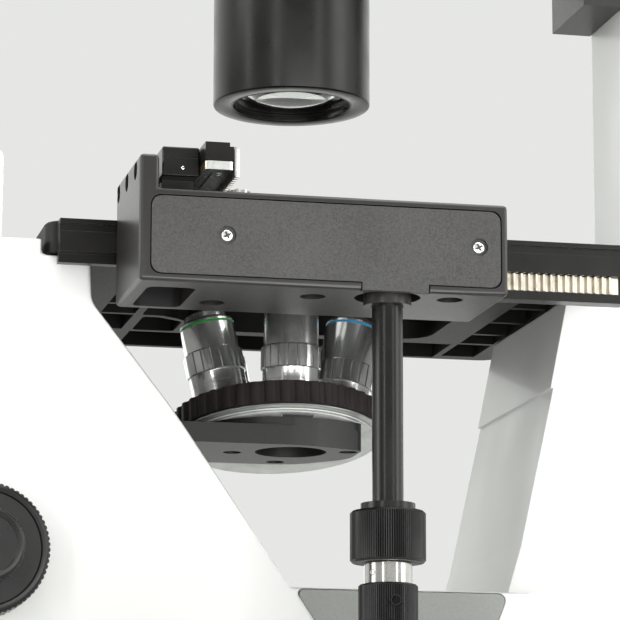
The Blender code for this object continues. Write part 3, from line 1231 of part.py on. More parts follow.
def specimen_holder():
    """An angle with a fixed jaw and a hinged finger, hung under the bar just above the stage."""
    low = STAGE_TOP + HOLDER_LIFT
    high = low + HOLDER_THICKNESS
    strip_front = X_RACK_PITCH_Y + 0.0016
    strip_rear = strip_front + HOLDER_STRIP_WIDTH
    angle = outline(
        "holder_angle",
        [rounded([
            (HOLDER_LEFT_X, BAR_FRONT_Y + 0.001, 0.002),
            (HOLDER_RIGHT_X, BAR_FRONT_Y + 0.001, 0.002),
            (HOLDER_RIGHT_X, strip_rear, 0.004),
            (HOLDER_LEFT_X + HOLDER_JAW_WIDTH, strip_rear, 0.003),
            (HOLDER_LEFT_X + HOLDER_JAW_WIDTH, HOLDER_JAW_END_Y, 0.003),
            (HOLDER_LEFT_X, HOLDER_JAW_END_Y, 0.003),
        ], 3)],
        low, high, BAR,
    )
    spacer_top = BAR_BOTTOM - SEAT_GAP - BAR_PLATE_THICKNESS - SEAT_GAP
    fuse(angle, box(
        "holder_spacer", (HOLDER_LEFT_X + 0.012, BAR_FRONT_Y + 0.001, high - 0.001),
        (HOLDER_RIGHT_X - 0.012, BAR_FRONT_Y + BAR_WIDTH - 0.002, spacer_top), BAR,
    ))
    pin_x = HOLDER_RIGHT_X - 0.006
    pin_y = strip_rear - 0.006
    fuse(angle, rod(
        "finger_pin", FINGER_PIN_RADIUS, high - 0.001, high + HOLDER_THICKNESS, (pin_x, pin_y, 0), BAR, sides=20
    ))
    finish(angle, BLACK_ANODISED, 0.4, 0.3)
    swing = empty("finger_axis", BAR, (pin_x, pin_y, 0))
    reach = HOLDER_JAW_END_Y - pin_y
    half = FINGER_WIDTH / 2
    bend = reach * 0.45
    finger = outline(
        "holder_finger",
        [
            rounded([
                (-half, -half, half * 0.9), (half, -half, half * 0.9), (half, bend, FINGER_BEND_RADIUS),
                (half - FINGER_LEAN, reach, FINGER_TIP_RADIUS), (-half - FINGER_LEAN, reach, FINGER_TIP_RADIUS),
                (-half, bend, FINGER_BEND_RADIUS),
            ], 4),
            circle(0, 0, FINGER_PIN_RADIUS + RUN_GAP, 20),
        ],
        high + SEAT_GAP, high + SEAT_GAP + 0.0020, swing,
    )
    finish(finger, STEEL, 0.3, 0.9)


def nosepiece():
    """The focusing bar with its turret and five objectives."""
    root = NOSE_BAR_ROOT_Y
    shape = rounded([
        (NOSE_BAR_NEAR_X, root, 0.0), (NOSE_BAR_NEAR_X, 0.0030, 0.040), (NOSE_END_NEAR_X, NOSE_BAR_END_Y, 0.004),
        (NOSE_END_FAR_X, NOSE_BAR_END_Y, 0.022), (NOSE_BAR_FAR_X, 0.0080, 0.025), (NOSE_BAR_FAR_X, root, 0.0),
    ], 6)
    bar = outline("focus_bar", [shape], NOSE_BAR_BOTTOM, NOSE_BAR_TOP, NOSE)
    boss = outline("bar_boss", [shape], NOSE_BAR_TOP - 0.001, NOSE_BOSS_TOP, NOSE)
    change(boss, rod(
        "boss_round", NOSE_BOSS_RADIUS, NOSE_BAR_BOTTOM, NOSE_BOSS_TOP + 0.001,
        (NOSE_BAR_NEAR_X - NOSE_BOSS_RADIUS, 0, 0), NOSE, sides=64,
    ), "INTERSECT")
    fuse(bar, boss)
    middle = (NOSE_BAR_TOP + NOSE_BAR_BOTTOM) / 2
    fuse(bar, box(
        "focus_slide_block", (-FOCUS_BLOCK_HALF_WIDTH, root - FOCUS_BLOCK_DEPTH, middle - FOCUS_BLOCK_HEIGHT / 2),
        (FOCUS_BLOCK_HALF_WIDTH, root + 0.001, middle + FOCUS_BLOCK_HEIGHT / 2), NOSE,
    ))
    cut(bar, rod(
        "nose_hole", NOSE_HOLE_RADIUS, NOSE_BAR_BOTTOM - CUT_THROUGH, NOSE_BOSS_TOP + CUT_THROUGH, (0, 0, 0),
        NOSE, sides=32,
    ))
    plate_top = DISC_BOTTOM - RUN_GAP
    plate_bottom = plate_top - SEAT_PLATE_THICKNESS
    cut(bar, rod(
        "turret_clearance", GRIP_RADIUS + 0.002, plate_bottom - SEAT_GAP, 0.010, (0, 0, 0), TURRET, sides=48
    ))
    fuse(bar, rod("turret_pivot", PIVOT_RADIUS, plate_bottom - 0.0040, PIVOT_TOP, (0, 0, 0), TURRET, sides=32))
    for number, (x, y) in enumerate(NOSE_SCREW_PLACES):
        cut(bar, rod(
            "nose_screw_hole_%d" % number, NOSE_SCREW_RADIUS, NOSE_BAR_BOTTOM - CUT_THROUGH,
            NOSE_BAR_BOTTOM + NOSE_SCREW_DEPTH, (x, y, 0), NOSE, sides=20,
        ))
    seat = turned(
        "turret_seat",
        [
            (0, plate_bottom + 0.0003), (SEAT_CONE_RADIUS, plate_bottom + 0.0003),
            (SEAT_CONE_RADIUS, plate_bottom - 0.0005),
            (SEAT_CONE_FOOT_RADIUS, plate_bottom - SEAT_CONE_DROP), (0, plate_bottom - SEAT_CONE_DROP),
        ],
        TURRET, steps=64,
    )
    cut(seat, box(
        "seat_floor", (-2 * GRIP_RADIUS, -2 * GRIP_RADIUS, NOSE_BAR_BOTTOM - 2 * GRIP_RADIUS),
        (2 * GRIP_RADIUS, 2 * GRIP_RADIUS, NOSE_BOSS_TOP + SEAT_GAP), NOSE,
    ))
    notch_floor = SEAT_CONE_RADIUS - SEAT_NOTCH_DEPTH
    cut(seat, box(
        "seat_notch", (notch_floor, -SEAT_NOTCH_WIDTH / 2, plate_bottom - 2 * SEAT_CONE_DROP),
        (SEAT_CONE_RADIUS + 0.01, SEAT_NOTCH_WIDTH / 2, plate_bottom - SEAT_NOTCH_DROP), TURRET,
    ))
    fuse(seat, rod("seat_plate", SEAT_PLATE_RADIUS, plate_bottom, plate_top, (0, 0, 0), TURRET, sides=64))
    cut(seat, rod(
        "seat_light_path", SEAT_BORE, NOSE_BAR_BOTTOM, TURRET_Z + GRIP_HEIGHT, (0, 0, 0), NOSE
    ))
    cut(seat, rod(
        "seat_pivot_hole", PIVOT_RADIUS + SEAT_GAP, plate_bottom - 2 * SEAT_CONE_DROP, 0, (0, 0, 0), TURRET,
        sides=32,
    ))
    finish(seat, CHROME, 0.3, 1.0)
    notch_x = notch_floor * math.cos(TURRET_LEAN) - (plate_bottom - SEAT_CONE_DROP) * math.sin(TURRET_LEAN)
    lug_x = TURRET_X + notch_x + SEAT_GAP
    fuse(bar, box(
        "spring_lug", (lug_x, -NOSE_LUG_WIDTH / 2, NOSE_BOSS_TOP - 0.001),
        (lug_x + NOSE_LUG_DEPTH, NOSE_LUG_WIDTH / 2, NOSE_BOSS_TOP + NOSE_LUG_RISE), NOSE,
    ))
    finish(bar, BLACK_ENAMEL, 0.5)
    cone = math.tan(TURRET_LEAN)

    def cone_height(radius):
        return -(radius - OBJECTIVE_CIRCLE) * cone

    inside = GRIP_INNER_RADIUS - SEAT_GAP
    flange_top = -GRIP_HEIGHT - SEAT_GAP
    disc = turned(
        "turret_disc",
        [
            (0, cone_height(DISC_HUB_RADIUS)), (DISC_HUB_RADIUS, cone_height(DISC_HUB_RADIUS)),
            (inside, cone_height(inside)), (inside, flange_top), (DISC_FLANGE_RADIUS, flange_top),
            (DISC_FLANGE_RADIUS, DISC_BOTTOM),
            (PIVOT_RADIUS + RUN_GAP, DISC_BOTTOM), (PIVOT_RADIUS + RUN_GAP, PIVOT_TOP + RUN_GAP),
            (0, PIVOT_TOP + RUN_GAP),
        ],
        TURRET, steps=36,
    )
    grip = outline(
        "turret_grip",
        [knurled(GRIP_RADIUS, GRIP_RIB_DEPTH, GRIP_RIBS), circle(0, 0, GRIP_INNER_RADIUS, 36)],
        -GRIP_HEIGHT, 0.0, TURRET,
    )
    finish(grip, BLACK_ENAMEL, 0.55)
    for number, name in enumerate(OBJECTIVES):
        step = 2 * math.pi / len(OBJECTIVES)
        turn = step * (number - OBJECTIVES.index("20_phase"))
        place = (OBJECTIVE_CIRCLE * math.cos(turn), OBJECTIVE_CIRCLE * math.sin(turn), 0)
        station = empty("station_" + name, TURRET, place, (0, TURRET_LEAN, turn))
        cut(disc, rod("light_path_" + name, LIGHT_PATH_RADIUS, -0.025, 0.010, (0, 0, 0), station, sides=14))
        objective(name, station)
    finish(disc, CHROME, 0.2, 1.0)


def objective(name, station):
    """One objective, turned about its own axis, shoulder at the station's origin."""
    shoulder = SEAT_GAP
    length = OBJECTIVE_LENGTH
    profile = [
        (0, length), (OBJECTIVE_TIP_RADIUS, length),
        (OBJECTIVE_NOSE_RADIUS, length - 0.0022), (OBJECTIVE_NOSE_RADIUS, length - 0.0055),
        (OBJECTIVE_BARREL_RADIUS, length - 0.0095), (OBJECTIVE_BARREL_RADIUS, OBJECTIVE_KNURL_TOP + 0.0004),
        (OBJECTIVE_KNURL_RADIUS, OBJECTIVE_KNURL_TOP), (OBJECTIVE_KNURL_RADIUS, OBJECTIVE_FLANGE_TOP + 0.0004),
        (OBJECTIVE_FLANGE_RADIUS, OBJECTIVE_FLANGE_TOP), (OBJECTIVE_FLANGE_RADIUS, shoulder),
        (0, shoulder),
    ]
    piece = turned("objective_" + name, profile, station, steps=24)
    finish(piece, CHROME, 0.12, 1.0)


def focus_drive():
    """Coarse tube and fine shaft through the arm, with a pair of knobs on each side."""
    hub = BASE_HALF_WIDTH + SEAT_GAP + COARSE_HUB_LENGTH
    tube = rod(
        "focus_tube", FOCUS_TUBE_RADIUS, -hub - FOCUS_TUBE_GRIP, hub + FOCUS_TUBE_GRIP, (0, 0, 0), FOCUS, "X"
    )
    cut(tube, rod("focus_tube_bore", FOCUS_TUBE_BORE, -0.2, 0.2, (0, 0, 0), FOCUS, "X"))
    finish(tube, STEEL, 0.3, 0.9)
    knob_out = hub + COARSE_KNOB_LENGTH
    start = knob_out + RUN_GAP
    shaft_end = start + FINE_KNOB_LENGTH / 2
    for sign, word in ((-1, "left"), (1, "right")):
        inner = BASE_HALF_WIDTH + RUN_GAP
        knob = outline(
            "coarse_knob_" + word, [knurled(COARSE_KNOB_RADIUS, 0.0007, 24)],
            min(sign * inner, sign * knob_out), max(sign * inner, sign * knob_out), FOCUS, "YZ",
        )
        cut(knob, rod(
            "coarse_seat_" + word, FOCUS_TUBE_RADIUS + SEAT_GAP, sign * (inner - 0.01),
            sign * (hub + FOCUS_TUBE_GRIP + SEAT_GAP), (0, 0, 0), FOCUS, "X",
        ))
        cut(knob, rod(
            "coarse_bore_" + word, FOCUS_SHAFT_RADIUS + RUN_GAP, sign * (inner - 0.01),
            sign * (knob_out + 0.01), (0, 0, 0), FOCUS, "X",
        ))
        finish(knob, BLACK_ENAMEL, 0.45)
        fine = outline(
            "fine_knob_" + word, [knurled(FINE_KNOB_RADIUS, 0.0005, 18)],
            min(sign * start, sign * (start + FINE_KNOB_LENGTH)),
            max(sign * start, sign * (start + FINE_KNOB_LENGTH)), FOCUS, "YZ",
        )
        if sign > 0:
            fuse(fine, rod(
                "fine_shaft", FOCUS_SHAFT_RADIUS, -shaft_end, start + 0.002, (0, 0, 0), FOCUS, "X"
            ))
        else:
            cut(fine, rod(
                "fine_seat", FOCUS_SHAFT_RADIUS + SEAT_GAP, sign * (start - 0.01),
                sign * (shaft_end + SEAT_GAP), (0, 0, 0), FOCUS, "X",
            ))
        finish(fine, BLACK_ENAMEL, 0.45)


def condenser():
    """Long condenser tube with its lens, stop slider and aperture lever on a sliding carrier."""
    top = CONDENSER_FLANGE_TOP + SLIDER_HOUSING_HEIGHT
    neck_top = top + 2 * RUN_GAP + APERTURE_RING_HEIGHT
    bottom = CONDENSER_BOTTOM
    radius = CONDENSER_RADIUS
    tube = turned(
        "condenser_tube",
        [
            (APERTURE_NECK_RADIUS, neck_top), (APERTURE_NECK_RADIUS, CONDENSER_FLANGE_TOP),
            (CONDENSER_FLANGE_RADIUS, CONDENSER_FLANGE_TOP),
            (CONDENSER_FLANGE_RADIUS, CONDENSER_FLANGE_BOTTOM), (radius, CONDENSER_FLANGE_BOTTOM),
            (radius, bottom + 0.0040), (radius - 0.0006, bottom + 0.0036), (radius - 0.0006, bottom + 0.0028),
            (radius, bottom + 0.0024), (radius, bottom + 0.0008), (radius - 0.0008, bottom),
            (radius - 0.0040, bottom), (radius - 0.0046, bottom + 0.0010),
            (CONDENSER_RIM_BORE + 0.0006, bottom + 0.0010), (CONDENSER_RIM_BORE, bottom + 0.0016),
            (CONDENSER_RIM_BORE, bottom + CONDENSER_RIM_DEPTH),
            (CONDENSER_BORE, bottom + CONDENSER_RIM_DEPTH), (CONDENSER_BORE, neck_top),
        ],
        CONDENSER, steps=36, closed=True,
    )
    fuse(tube, outline(
        "slider_housing",
        [
            rectangle(
                -SLIDER_HOUSING_X / 2, -SLIDER_HOUSING_Y / 2, SLIDER_HOUSING_X / 2, SLIDER_HOUSING_Y / 2, 0.008
            ),
            circle(0, 0, (CONDENSER_BORE + APERTURE_NECK_RADIUS) / 2),
        ],
        CONDENSER_FLANGE_TOP - 0.001, top, CONDENSER,
    ))
    slot_middle = CONDENSER_FLANGE_TOP + SLIDER_HOUSING_HEIGHT / 2
    slot_y = SLIDER_WIDTH / 2 + RUN_GAP
    slot_z = SLIDER_THICKNESS / 2 + RUN_GAP
    cut(tube, box(
        "slider_slot", (-SLIDER_HOUSING_X / 2 - CUT_THROUGH, -slot_y, slot_middle - slot_z),
        (SLIDER_HOUSING_X / 2 + CUT_THROUGH, slot_y, slot_middle + slot_z), CONDENSER,
    ))
    finish(tube, BLACK_ANODISED, 0.35, 0.2)
    slider = outline(
        "stop_slider",
        [
            rectangle(-SLIDER_LENGTH / 2, -SLIDER_WIDTH / 2, SLIDER_LENGTH / 2, SLIDER_WIDTH / 2, 0.006),
            circle(0, 0, SLIDER_STOP_RADIUS, 32),
            circle(-0.0480, 0, SLIDER_STOP_RADIUS, 32),
            circle(0.0480, 0, SLIDER_STOP_RADIUS, 32),
        ],
        slot_middle - SLIDER_THICKNESS / 2, slot_middle + SLIDER_THICKNESS / 2, CONDENSER,
    )
    finish(slider, BLACK_ANODISED, 0.4, 0.2)
    lever = outline(
        "aperture_lever",
        [
            rounded_lever(),
            circle(0, 0, APERTURE_NECK_RADIUS + RUN_GAP, 36),
        ],
        top + RUN_GAP, top + RUN_GAP + APERTURE_RING_HEIGHT, CONDENSER,
    )
    finish(lever, BLACK_ANODISED, 0.4, 0.2)
    lens_radius = CONDENSER_BORE - SEAT_GAP
    seat = bottom + CONDENSER_RIM_DEPTH + 0.0030
    bulge = CONDENSER_LENS_BULGE
    sphere = (lens_radius ** 2 + bulge ** 2) / (2 * bulge)
    sweep = math.asin(lens_radius / sphere)
    arc = [
        (sphere * math.sin(sweep * i / 5), bulge - sphere * (1 - math.cos(sweep * i / 5))) for i in range(6)
    ]
    upper = [(out, seat + CONDENSER_LENS_THICKNESS + rise) for out, rise in arc]
    lower = [(out, seat - rise) for out, rise in reversed(arc)]
    lens = turned("condenser_lens", upper + lower, CONDENSER, steps=32)
    finish(lens, GLASS, 0.02)


def rounded_lever():
    """A ring with a straight lever towards the user."""
    radius = APERTURE_RING_RADIUS
    half = 0.0035
    start = math.asin(half / radius)
    turns = [-math.pi / 2 + start + (2 * math.pi - 2 * start) * i / 36 for i in range(37)]
    ring = [(radius * math.cos(a), radius * math.sin(a)) for a in turns]
    end = -radius - APERTURE_LEVER_LENGTH
    return ring + [(-half, end), (half, end)]


def condenser_carrier():
    """The ring and slide that carry the condenser on the lamp column, with a clamp knob."""
    top = CONDENSER_FLANGE_BOTTOM - SEAT_GAP
    bottom = CARRIER_RING_BOTTOM
    slide_front = LAMP_COLUMN_FRONT_Y - RUN_GAP - CARRIER_SLIDE_DEPTH
    bore = CONDENSER_RADIUS + SEAT_GAP
    carrier = turned(
        "condenser_carrier",
        [(CARRIER_RING_RADIUS, top), (CARRIER_RING_RADIUS, bottom), (bore, bottom), (bore, top)],
        CONDENSER, steps=36, closed=True,
    )
    fuse(carrier, box(
        "carrier_arm", (-CARRIER_ARM_HALF_WIDTH, CARRIER_RING_RADIUS - 0.004, bottom + 0.0005),
        (CARRIER_ARM_HALF_WIDTH, slide_front + 0.002, top - 0.0005), CONDENSER,
    ))
    slide_low = bottom - CARRIER_SLIDE_HEIGHT * 0.3
    fuse(carrier, box(
        "carrier_slide", (-CARRIER_SLIDE_HALF_WIDTH, slide_front, slide_low),
        (CARRIER_SLIDE_HALF_WIDTH, slide_front + CARRIER_SLIDE_DEPTH, slide_low + CARRIER_SLIDE_HEIGHT), CONDENSER,
    ))
    finish(carrier, BLACK_ENAMEL, 0.45)
    clamp_axis = empty("clamp_axis", CONDENSER, (
        CARRIER_SLIDE_HALF_WIDTH, slide_front + CARRIER_SLIDE_DEPTH / 2, slide_low + CARRIER_SLIDE_HEIGHT / 2
    ))
    knob = outline(
        "carrier_clamp", [knurled(CLAMP_KNOB_RADIUS, 0.0006, 18)], SEAT_GAP, CLAMP_KNOB_LENGTH, clamp_axis, "YZ"
    )
    finish(knob, BLACK_ENAMEL, 0.45)


def lamp():
    """The lamp column on the stand and the arm that reaches over the optical axis."""
    foot = OBJECT_PLANE_Z + STAGE_BOTTOM
    column = outline(
        "lamp_column",
        [rectangle(
            -LAMP_COLUMN_HALF_WIDTH, LAMP_COLUMN_FRONT_Y, LAMP_COLUMN_HALF_WIDTH, LAMP_COLUMN_REAR_Y, 0.006
        )],
        foot, LAMP_ARM_TOP_Z - LAMP_ARM_HEIGHT - SEAT_GAP, MICROSCOPE,
    )
    finish(column, WHITE_ENAMEL, 0.35)
    low, high = LAMP_ARM_TOP_Z - LAMP_ARM_HEIGHT, LAMP_ARM_TOP_Z
    side = rounded([
        (LAMP_ARM_NOSE_Y, low, 0.008),
        (LAMP_COLUMN_REAR_Y + 0.012, low, 0.008),
        (LAMP_COLUMN_REAR_Y + 0.012, high - 0.004, 0.016),
        (0.060, high, 0.060),
        (LAMP_ARM_NOSE_Y, high - 0.014, 0.020),
    ])
    arm = outline("lamp_arm", [side], -LAMP_ARM_HALF_WIDTH, LAMP_ARM_HALF_WIDTH, MICROSCOPE, "YZ")
    soften(arm, 0.004, 2, 50)
    cut(arm, rod(
        "lamp_outlet", LAMP_OUTLET_RADIUS, low - CUT_THROUGH, low + LAMP_OUTLET_DEPTH, (0, 0, 0), MICROSCOPE
    ))
    finish(arm, WHITE_ENAMEL, 0.35)
    seat = low + LAMP_OUTLET_DEPTH - SEAT_GAP
    glass = LAMP_OUTLET_RADIUS - SEAT_GAP
    lens = turned(
        "lamp_lens",
        [
            (0, seat), (glass, seat), (glass, seat - LAMP_LENS_THICKNESS),
            (glass * 0.7, seat - LAMP_LENS_THICKNESS - 0.0020), (glass * 0.35, seat - LAMP_LENS_THICKNESS - 0.0032),
            (0, seat - LAMP_LENS_THICKNESS - 0.0036),
        ],
        MICROSCOPE,
    )
    finish(lens, GLASS, 0.05)


def head():
    """Prism housing with two hinged eye tubes, their eyepieces and the dioptre ring."""
    axis_y = HEAD_Y
    slope = math.radians(HEAD_INCLINE)
    across = Vector((math.sin(slope), math.cos(slope)))
    centre = Vector((axis_y, HEAD_Z))
    high = centre + across * 0.036
    low = centre - across * 0.036
    base_z = ARM_TOP_Z + SEAT_GAP
    side = rounded([
        (ARM_TOP_FRONT_Y + 0.006, base_z, 0.0),
        (ARM_TOP_REAR_Y - 0.004, base_z, 0.0),
        (ARM_TOP_REAR_Y - 0.004, high.y - 0.022, 0.014),
        (high.x + 0.012, high.y, 0.010),
        (high.x, high.y, 0.0),
        (low.x, low.y, 0.0),
        (ARM_TOP_FRONT_Y + 0.006, base_z + 0.010, 0.006),
    ])
    housing = outline("head_housing", [side], -HEAD_HALF_WIDTH, HEAD_HALF_WIDTH, MICROSCOPE, "YZ")
    soften(housing, 0.003, 2, 50)
    pivot_top = 2 * (EYE_PLATE_THICKNESS + RUN_GAP) + RUN_GAP
    fuse(housing, rod("eye_pivot", 0.0060, -0.004, pivot_top, (0, 0, 0), HEAD, sides=32))
    finish(housing, WHITE_ENAMEL, 0.35)
    drop = -math.sqrt(EYE_ARM_LENGTH ** 2 - EYE_HALF_DISTANCE ** 2)
    for sign, word in ((-1, "left"), (1, "right")):
        level = RUN_GAP if sign < 0 else 2 * RUN_GAP + EYE_PLATE_THICKNESS
        eye_tube(word, Vector((sign * EYE_HALF_DISTANCE, drop)), level)


def eye_tube(word, tube_place, level):
    """One arm of the head: hub round the pivot, prism box and tube, with the eyepiece in it."""
    hinge = empty("eye_hinge_" + word, HEAD)
    reach = tube_place.length
    heading = math.atan2(tube_place.y, tube_place.x)
    flare = math.asin((EYE_END_RADIUS - EYE_HUB_RADIUS) / reach)
    points = []
    for centre, radius, first, last in (
        (Vector((0, 0)), EYE_HUB_RADIUS, math.pi / 2 + flare, 3 * math.pi / 2 - flare),
        (tube_place, EYE_END_RADIUS, -math.pi / 2 - flare, math.pi / 2 + flare),
    ):
        for i in range(ARM_ARC_STEPS + 1):
            turn = heading + first + (last - first) * i / ARM_ARC_STEPS
            points.append((centre.x + radius * math.cos(turn), centre.y + radius * math.sin(turn)))
    arm = outline(
        "eye_tube_" + word, [points, circle(0, 0, 0.0060 + RUN_GAP, 32)], level, level + EYE_PLATE_THICKNESS, hinge
    )
    place = (tube_place.x, tube_place.y, 0)
    fuse(arm, rod(
        "tube_wall_" + word, EYE_TUBE_RADIUS, level + EYE_PLATE_THICKNESS - 0.001, EYE_TUBE_TOP, place, hinge
    ))
    cut(arm, rod(
        "tube_bore_" + word, EYE_TUBE_BORE, EYE_TUBE_TOP - EYEPIECE_BARREL_LENGTH - 0.004, EYE_TUBE_TOP + 0.01,
        place, hinge,
    ))
    finish(arm, WHITE_ENAMEL, 0.35)
    shoulder = EYE_TUBE_TOP + SEAT_GAP
    top = shoulder + EYEPIECE_HEIGHT
    piece = turned(
        "eyepiece_" + word,
        [
            (0, top - 0.005), (0.0110, top - 0.005), (0.0140, top), (0.0165, top),
            (EYEPIECE_RADIUS, top - 0.012), (EYEPIECE_RADIUS, shoulder + 0.006),
            (EYEPIECE_RADIUS - 0.002, shoulder), (EYEPIECE_BARREL_RADIUS, shoulder),
            (EYEPIECE_BARREL_RADIUS, shoulder - EYEPIECE_BARREL_LENGTH), (0, shoulder - EYEPIECE_BARREL_LENGTH),
        ],
        hinge, place, 24,
    )
    finish(piece, BLACK_ENAMEL, 0.5)
    if word == "left":
        ring_top = EYE_TUBE_TOP - 0.004
        ring = outline(
            "dioptre_ring",
            [knurled(DIOPTER_RING_RADIUS, 0.0004, 22), circle(0, 0, EYE_TUBE_RADIUS + RUN_GAP)],
            ring_top - DIOPTER_RING_HEIGHT, ring_top, empty("dioptre_axis", hinge, place),
        )
        finish(ring, BLACK_ENAMEL, 0.45)


stand()
side_panels()
base_plate()
base_fittings()
stage()
y_rail()
drive_block()
stage_drive()
x_motion()
nosepiece()
focus_drive()
condenser()
condenser_carrier()
lamp()
head()
bpy.context.view_layer.update()
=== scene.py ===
# %% [markdown]
# # An inverted microscope in a white studio
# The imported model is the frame. Its solids have flat facets and plain colours, as a CAD model has.
# This script gives each node a finish that follows how the real surface is made, and builds finer
# pieces where the frame's facets would show. The frame itself is never moved or reshaped.

import json
import math

import bmesh
import bpy
import numpy as np
from mathutils import Matrix, Vector


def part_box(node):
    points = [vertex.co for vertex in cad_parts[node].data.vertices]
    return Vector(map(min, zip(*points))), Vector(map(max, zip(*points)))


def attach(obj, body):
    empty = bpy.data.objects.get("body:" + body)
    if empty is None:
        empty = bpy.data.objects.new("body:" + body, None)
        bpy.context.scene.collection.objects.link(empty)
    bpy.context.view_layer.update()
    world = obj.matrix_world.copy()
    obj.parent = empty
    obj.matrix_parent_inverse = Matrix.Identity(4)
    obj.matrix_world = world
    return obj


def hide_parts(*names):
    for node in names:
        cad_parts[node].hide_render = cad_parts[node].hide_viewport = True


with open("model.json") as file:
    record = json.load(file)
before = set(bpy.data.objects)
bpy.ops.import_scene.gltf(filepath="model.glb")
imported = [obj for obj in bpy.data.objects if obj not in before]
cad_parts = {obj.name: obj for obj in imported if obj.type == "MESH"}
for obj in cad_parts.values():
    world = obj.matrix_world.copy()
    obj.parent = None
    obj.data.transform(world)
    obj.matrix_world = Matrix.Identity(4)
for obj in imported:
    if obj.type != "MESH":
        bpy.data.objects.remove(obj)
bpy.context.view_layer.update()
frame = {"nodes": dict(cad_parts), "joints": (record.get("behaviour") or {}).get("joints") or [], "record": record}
NODES = frame["nodes"]
JOINTS = {joint["name"]: joint for joint in frame["joints"]}
BODY_OF = {
    node: body for body, names in frame["record"]["behaviour"]["bodies"].items() for node in names
}

MM = 0.001

# %% [markdown]
# ## Finishes
# Paint, plating and moulded plastic differ less in colour than in how smooth they are. So every
# finish is a small node tree round one Principled shader: a colour that drifts a little, a roughness
# that drifts with it, and a fine bump. Patterns are laid out in Object coordinates, which keep their
# size on every piece, and sizes are given in millimetres.

# %% Node helpers
# The inputs for factor, first and second value, and the output, that each kind of mix node uses.
MIX_SOCKETS = {"FLOAT": ((0, 2, 3), 0), "RGBA": ((0, 6, 7), 2)}


def join(tree, value, socket):
    """Links an output to a socket, or sets a plain value on it."""
    if isinstance(value, bpy.types.NodeSocket):
        tree.links.new(value, socket)
    else:
        socket.default_value = value


def add_node(tree, kind, **settings):
    """Adds a node; settings named as inputs are set or linked, the others are its properties."""
    node = tree.nodes.new(kind)
    for key, value in settings.items():
        if hasattr(node, key):
            setattr(node, key, value)
        else:
            join(tree, value, node.inputs[key.replace("_", " ")])
    return node


def multiply_add(tree, value, factor, added):
    """value times factor, plus added."""
    node = add_node(tree, "ShaderNodeMath", operation="MULTIPLY_ADD")
    for number, socket in zip((value, factor, added), node.inputs):
        join(tree, number, socket)
    return node.outputs[0]


def along(tree, vector, direction):
    """How far a vector runs along a direction."""
    node = add_node(tree, "ShaderNodeVectorMath", operation="DOT_PRODUCT")
    join(tree, vector, node.inputs[0])
    join(tree, direction, node.inputs[1])
    return node.outputs["Value"]


def mixed(tree, kind, *values):
    """Mixes two numbers or two colours; the values are the factor, the first and the second."""
    node = add_node(tree, "ShaderNodeMix", data_type=kind)
    inputs, output = MIX_SOCKETS[kind]
    for index, value in zip(inputs, values):
        join(tree, value, node.inputs[index])
    return node.outputs[output]


# %% Colours


def to_linear(value):
    """One sRGB channel, 0 to 1, as the linear value that shaders use."""
    return value / 12.92 if value <= 0.04045 else ((value + 0.055) / 1.055) ** 2.4


def colour(code):
    """A colour written as six hex digits."""
    return tuple(to_linear(int(code[i:i + 2], 16) / 255) for i in (0, 2, 4)) + (1.0,)


# %% A finish and its patterns


class Finish:
    """A material with its Principled shader. All sizes are in millimetres."""

    def __init__(self, name):
        self.material = bpy.data.materials.new(name)
        self.material.use_nodes = True
        self.tree = self.material.node_tree
        self.shader = self.tree.nodes["Principled BSDF"]
        self.where = self.add("ShaderNodeTexCoord").outputs["Object"]
        self.edge = None

    def add(self, kind, **settings):
        """Adds a node to this finish."""
        return add_node(self.tree, kind, **settings)

    def set(self, **values):
        """Sets or links inputs of the shader."""
        for key, value in values.items():
            join(self.tree, value, self.shader.inputs[key.replace("_", " ")])

    def rounded(self, radius):
        """Softens the look of every sharp edge, as paint and polishing do."""
        bevel = self.add("ShaderNodeBevel", samples=4, Radius=radius * MM)
        self.edge = bevel.outputs["Normal"]
        self.tree.links.new(self.edge, self.shader.inputs["Normal"])
        return self

    def stretched(self, x=1.0, y=1.0, z=1.0):
        """Object coordinates scaled along each axis."""
        return self.add("ShaderNodeMapping", Vector=self.where, Scale=(x, y, z)).outputs["Vector"]

    def noise(self, size, detail=3.0, vector=None, rough=0.5):
        """Noise whose features are about size across."""
        node = self.add(
            "ShaderNodeTexNoise", Vector=vector or self.where, Scale=1 / (size * MM), Detail=detail,
            Roughness=rough,
        )
        return node.outputs["Fac"]

    def ramp(self, value, low, high, from_low=0.3, from_high=0.7):
        """Maps a value to the range from low to high, clamped."""
        node = self.add(
            "ShaderNodeMapRange", Value=value, From_Min=from_low, From_Max=from_high, To_Min=low,
            To_Max=high,
        )
        return node.outputs["Result"]

    def mix(self, factor, first, second):
        """A colour between two."""
        return mixed(self.tree, "RGBA", factor, first, second)

    def sum(self, first, second, weight):
        """first plus second times weight."""
        return multiply_add(self.tree, second, weight, first)

    def facing(self, x, y, z):
        """How much the surface faces one direction, 1 where it does fully."""
        normal = self.add("ShaderNodeNewGeometry").outputs["True Normal"]
        return along(self.tree, normal, (x, y, z))

    def bump(self, height, depth, strength):
        """Raises the surface by height times depth."""
        node = self.add("ShaderNodeBump", Height=height, Distance=depth * MM, Strength=strength)
        if self.edge:
            self.tree.links.new(self.edge, node.inputs["Normal"])
        self.tree.links.new(node.outputs["Normal"], self.shader.inputs["Normal"])
        return self


# %% Painted finishes


def white_enamel():
    """Stoved white enamel on a casting: smooth, with the faint waviness of sprayed paint."""
    paint = Finish("white_enamel").rounded(0.8)
    cloud = paint.noise(120, 2.0)
    tone = paint.mix(paint.ramp(cloud, 0.0, 1.0), colour("F0F0EF"), colour("EAEAE8"))
    peel = paint.noise(1.6, 2.0)
    sheen = paint.ramp(paint.noise(30), 0.34, 0.42)
    paint.set(Base_Color=tone, Roughness=sheen, Coat_Weight=0.15)
    return paint.bump(peel, 0.02, 0.35).material


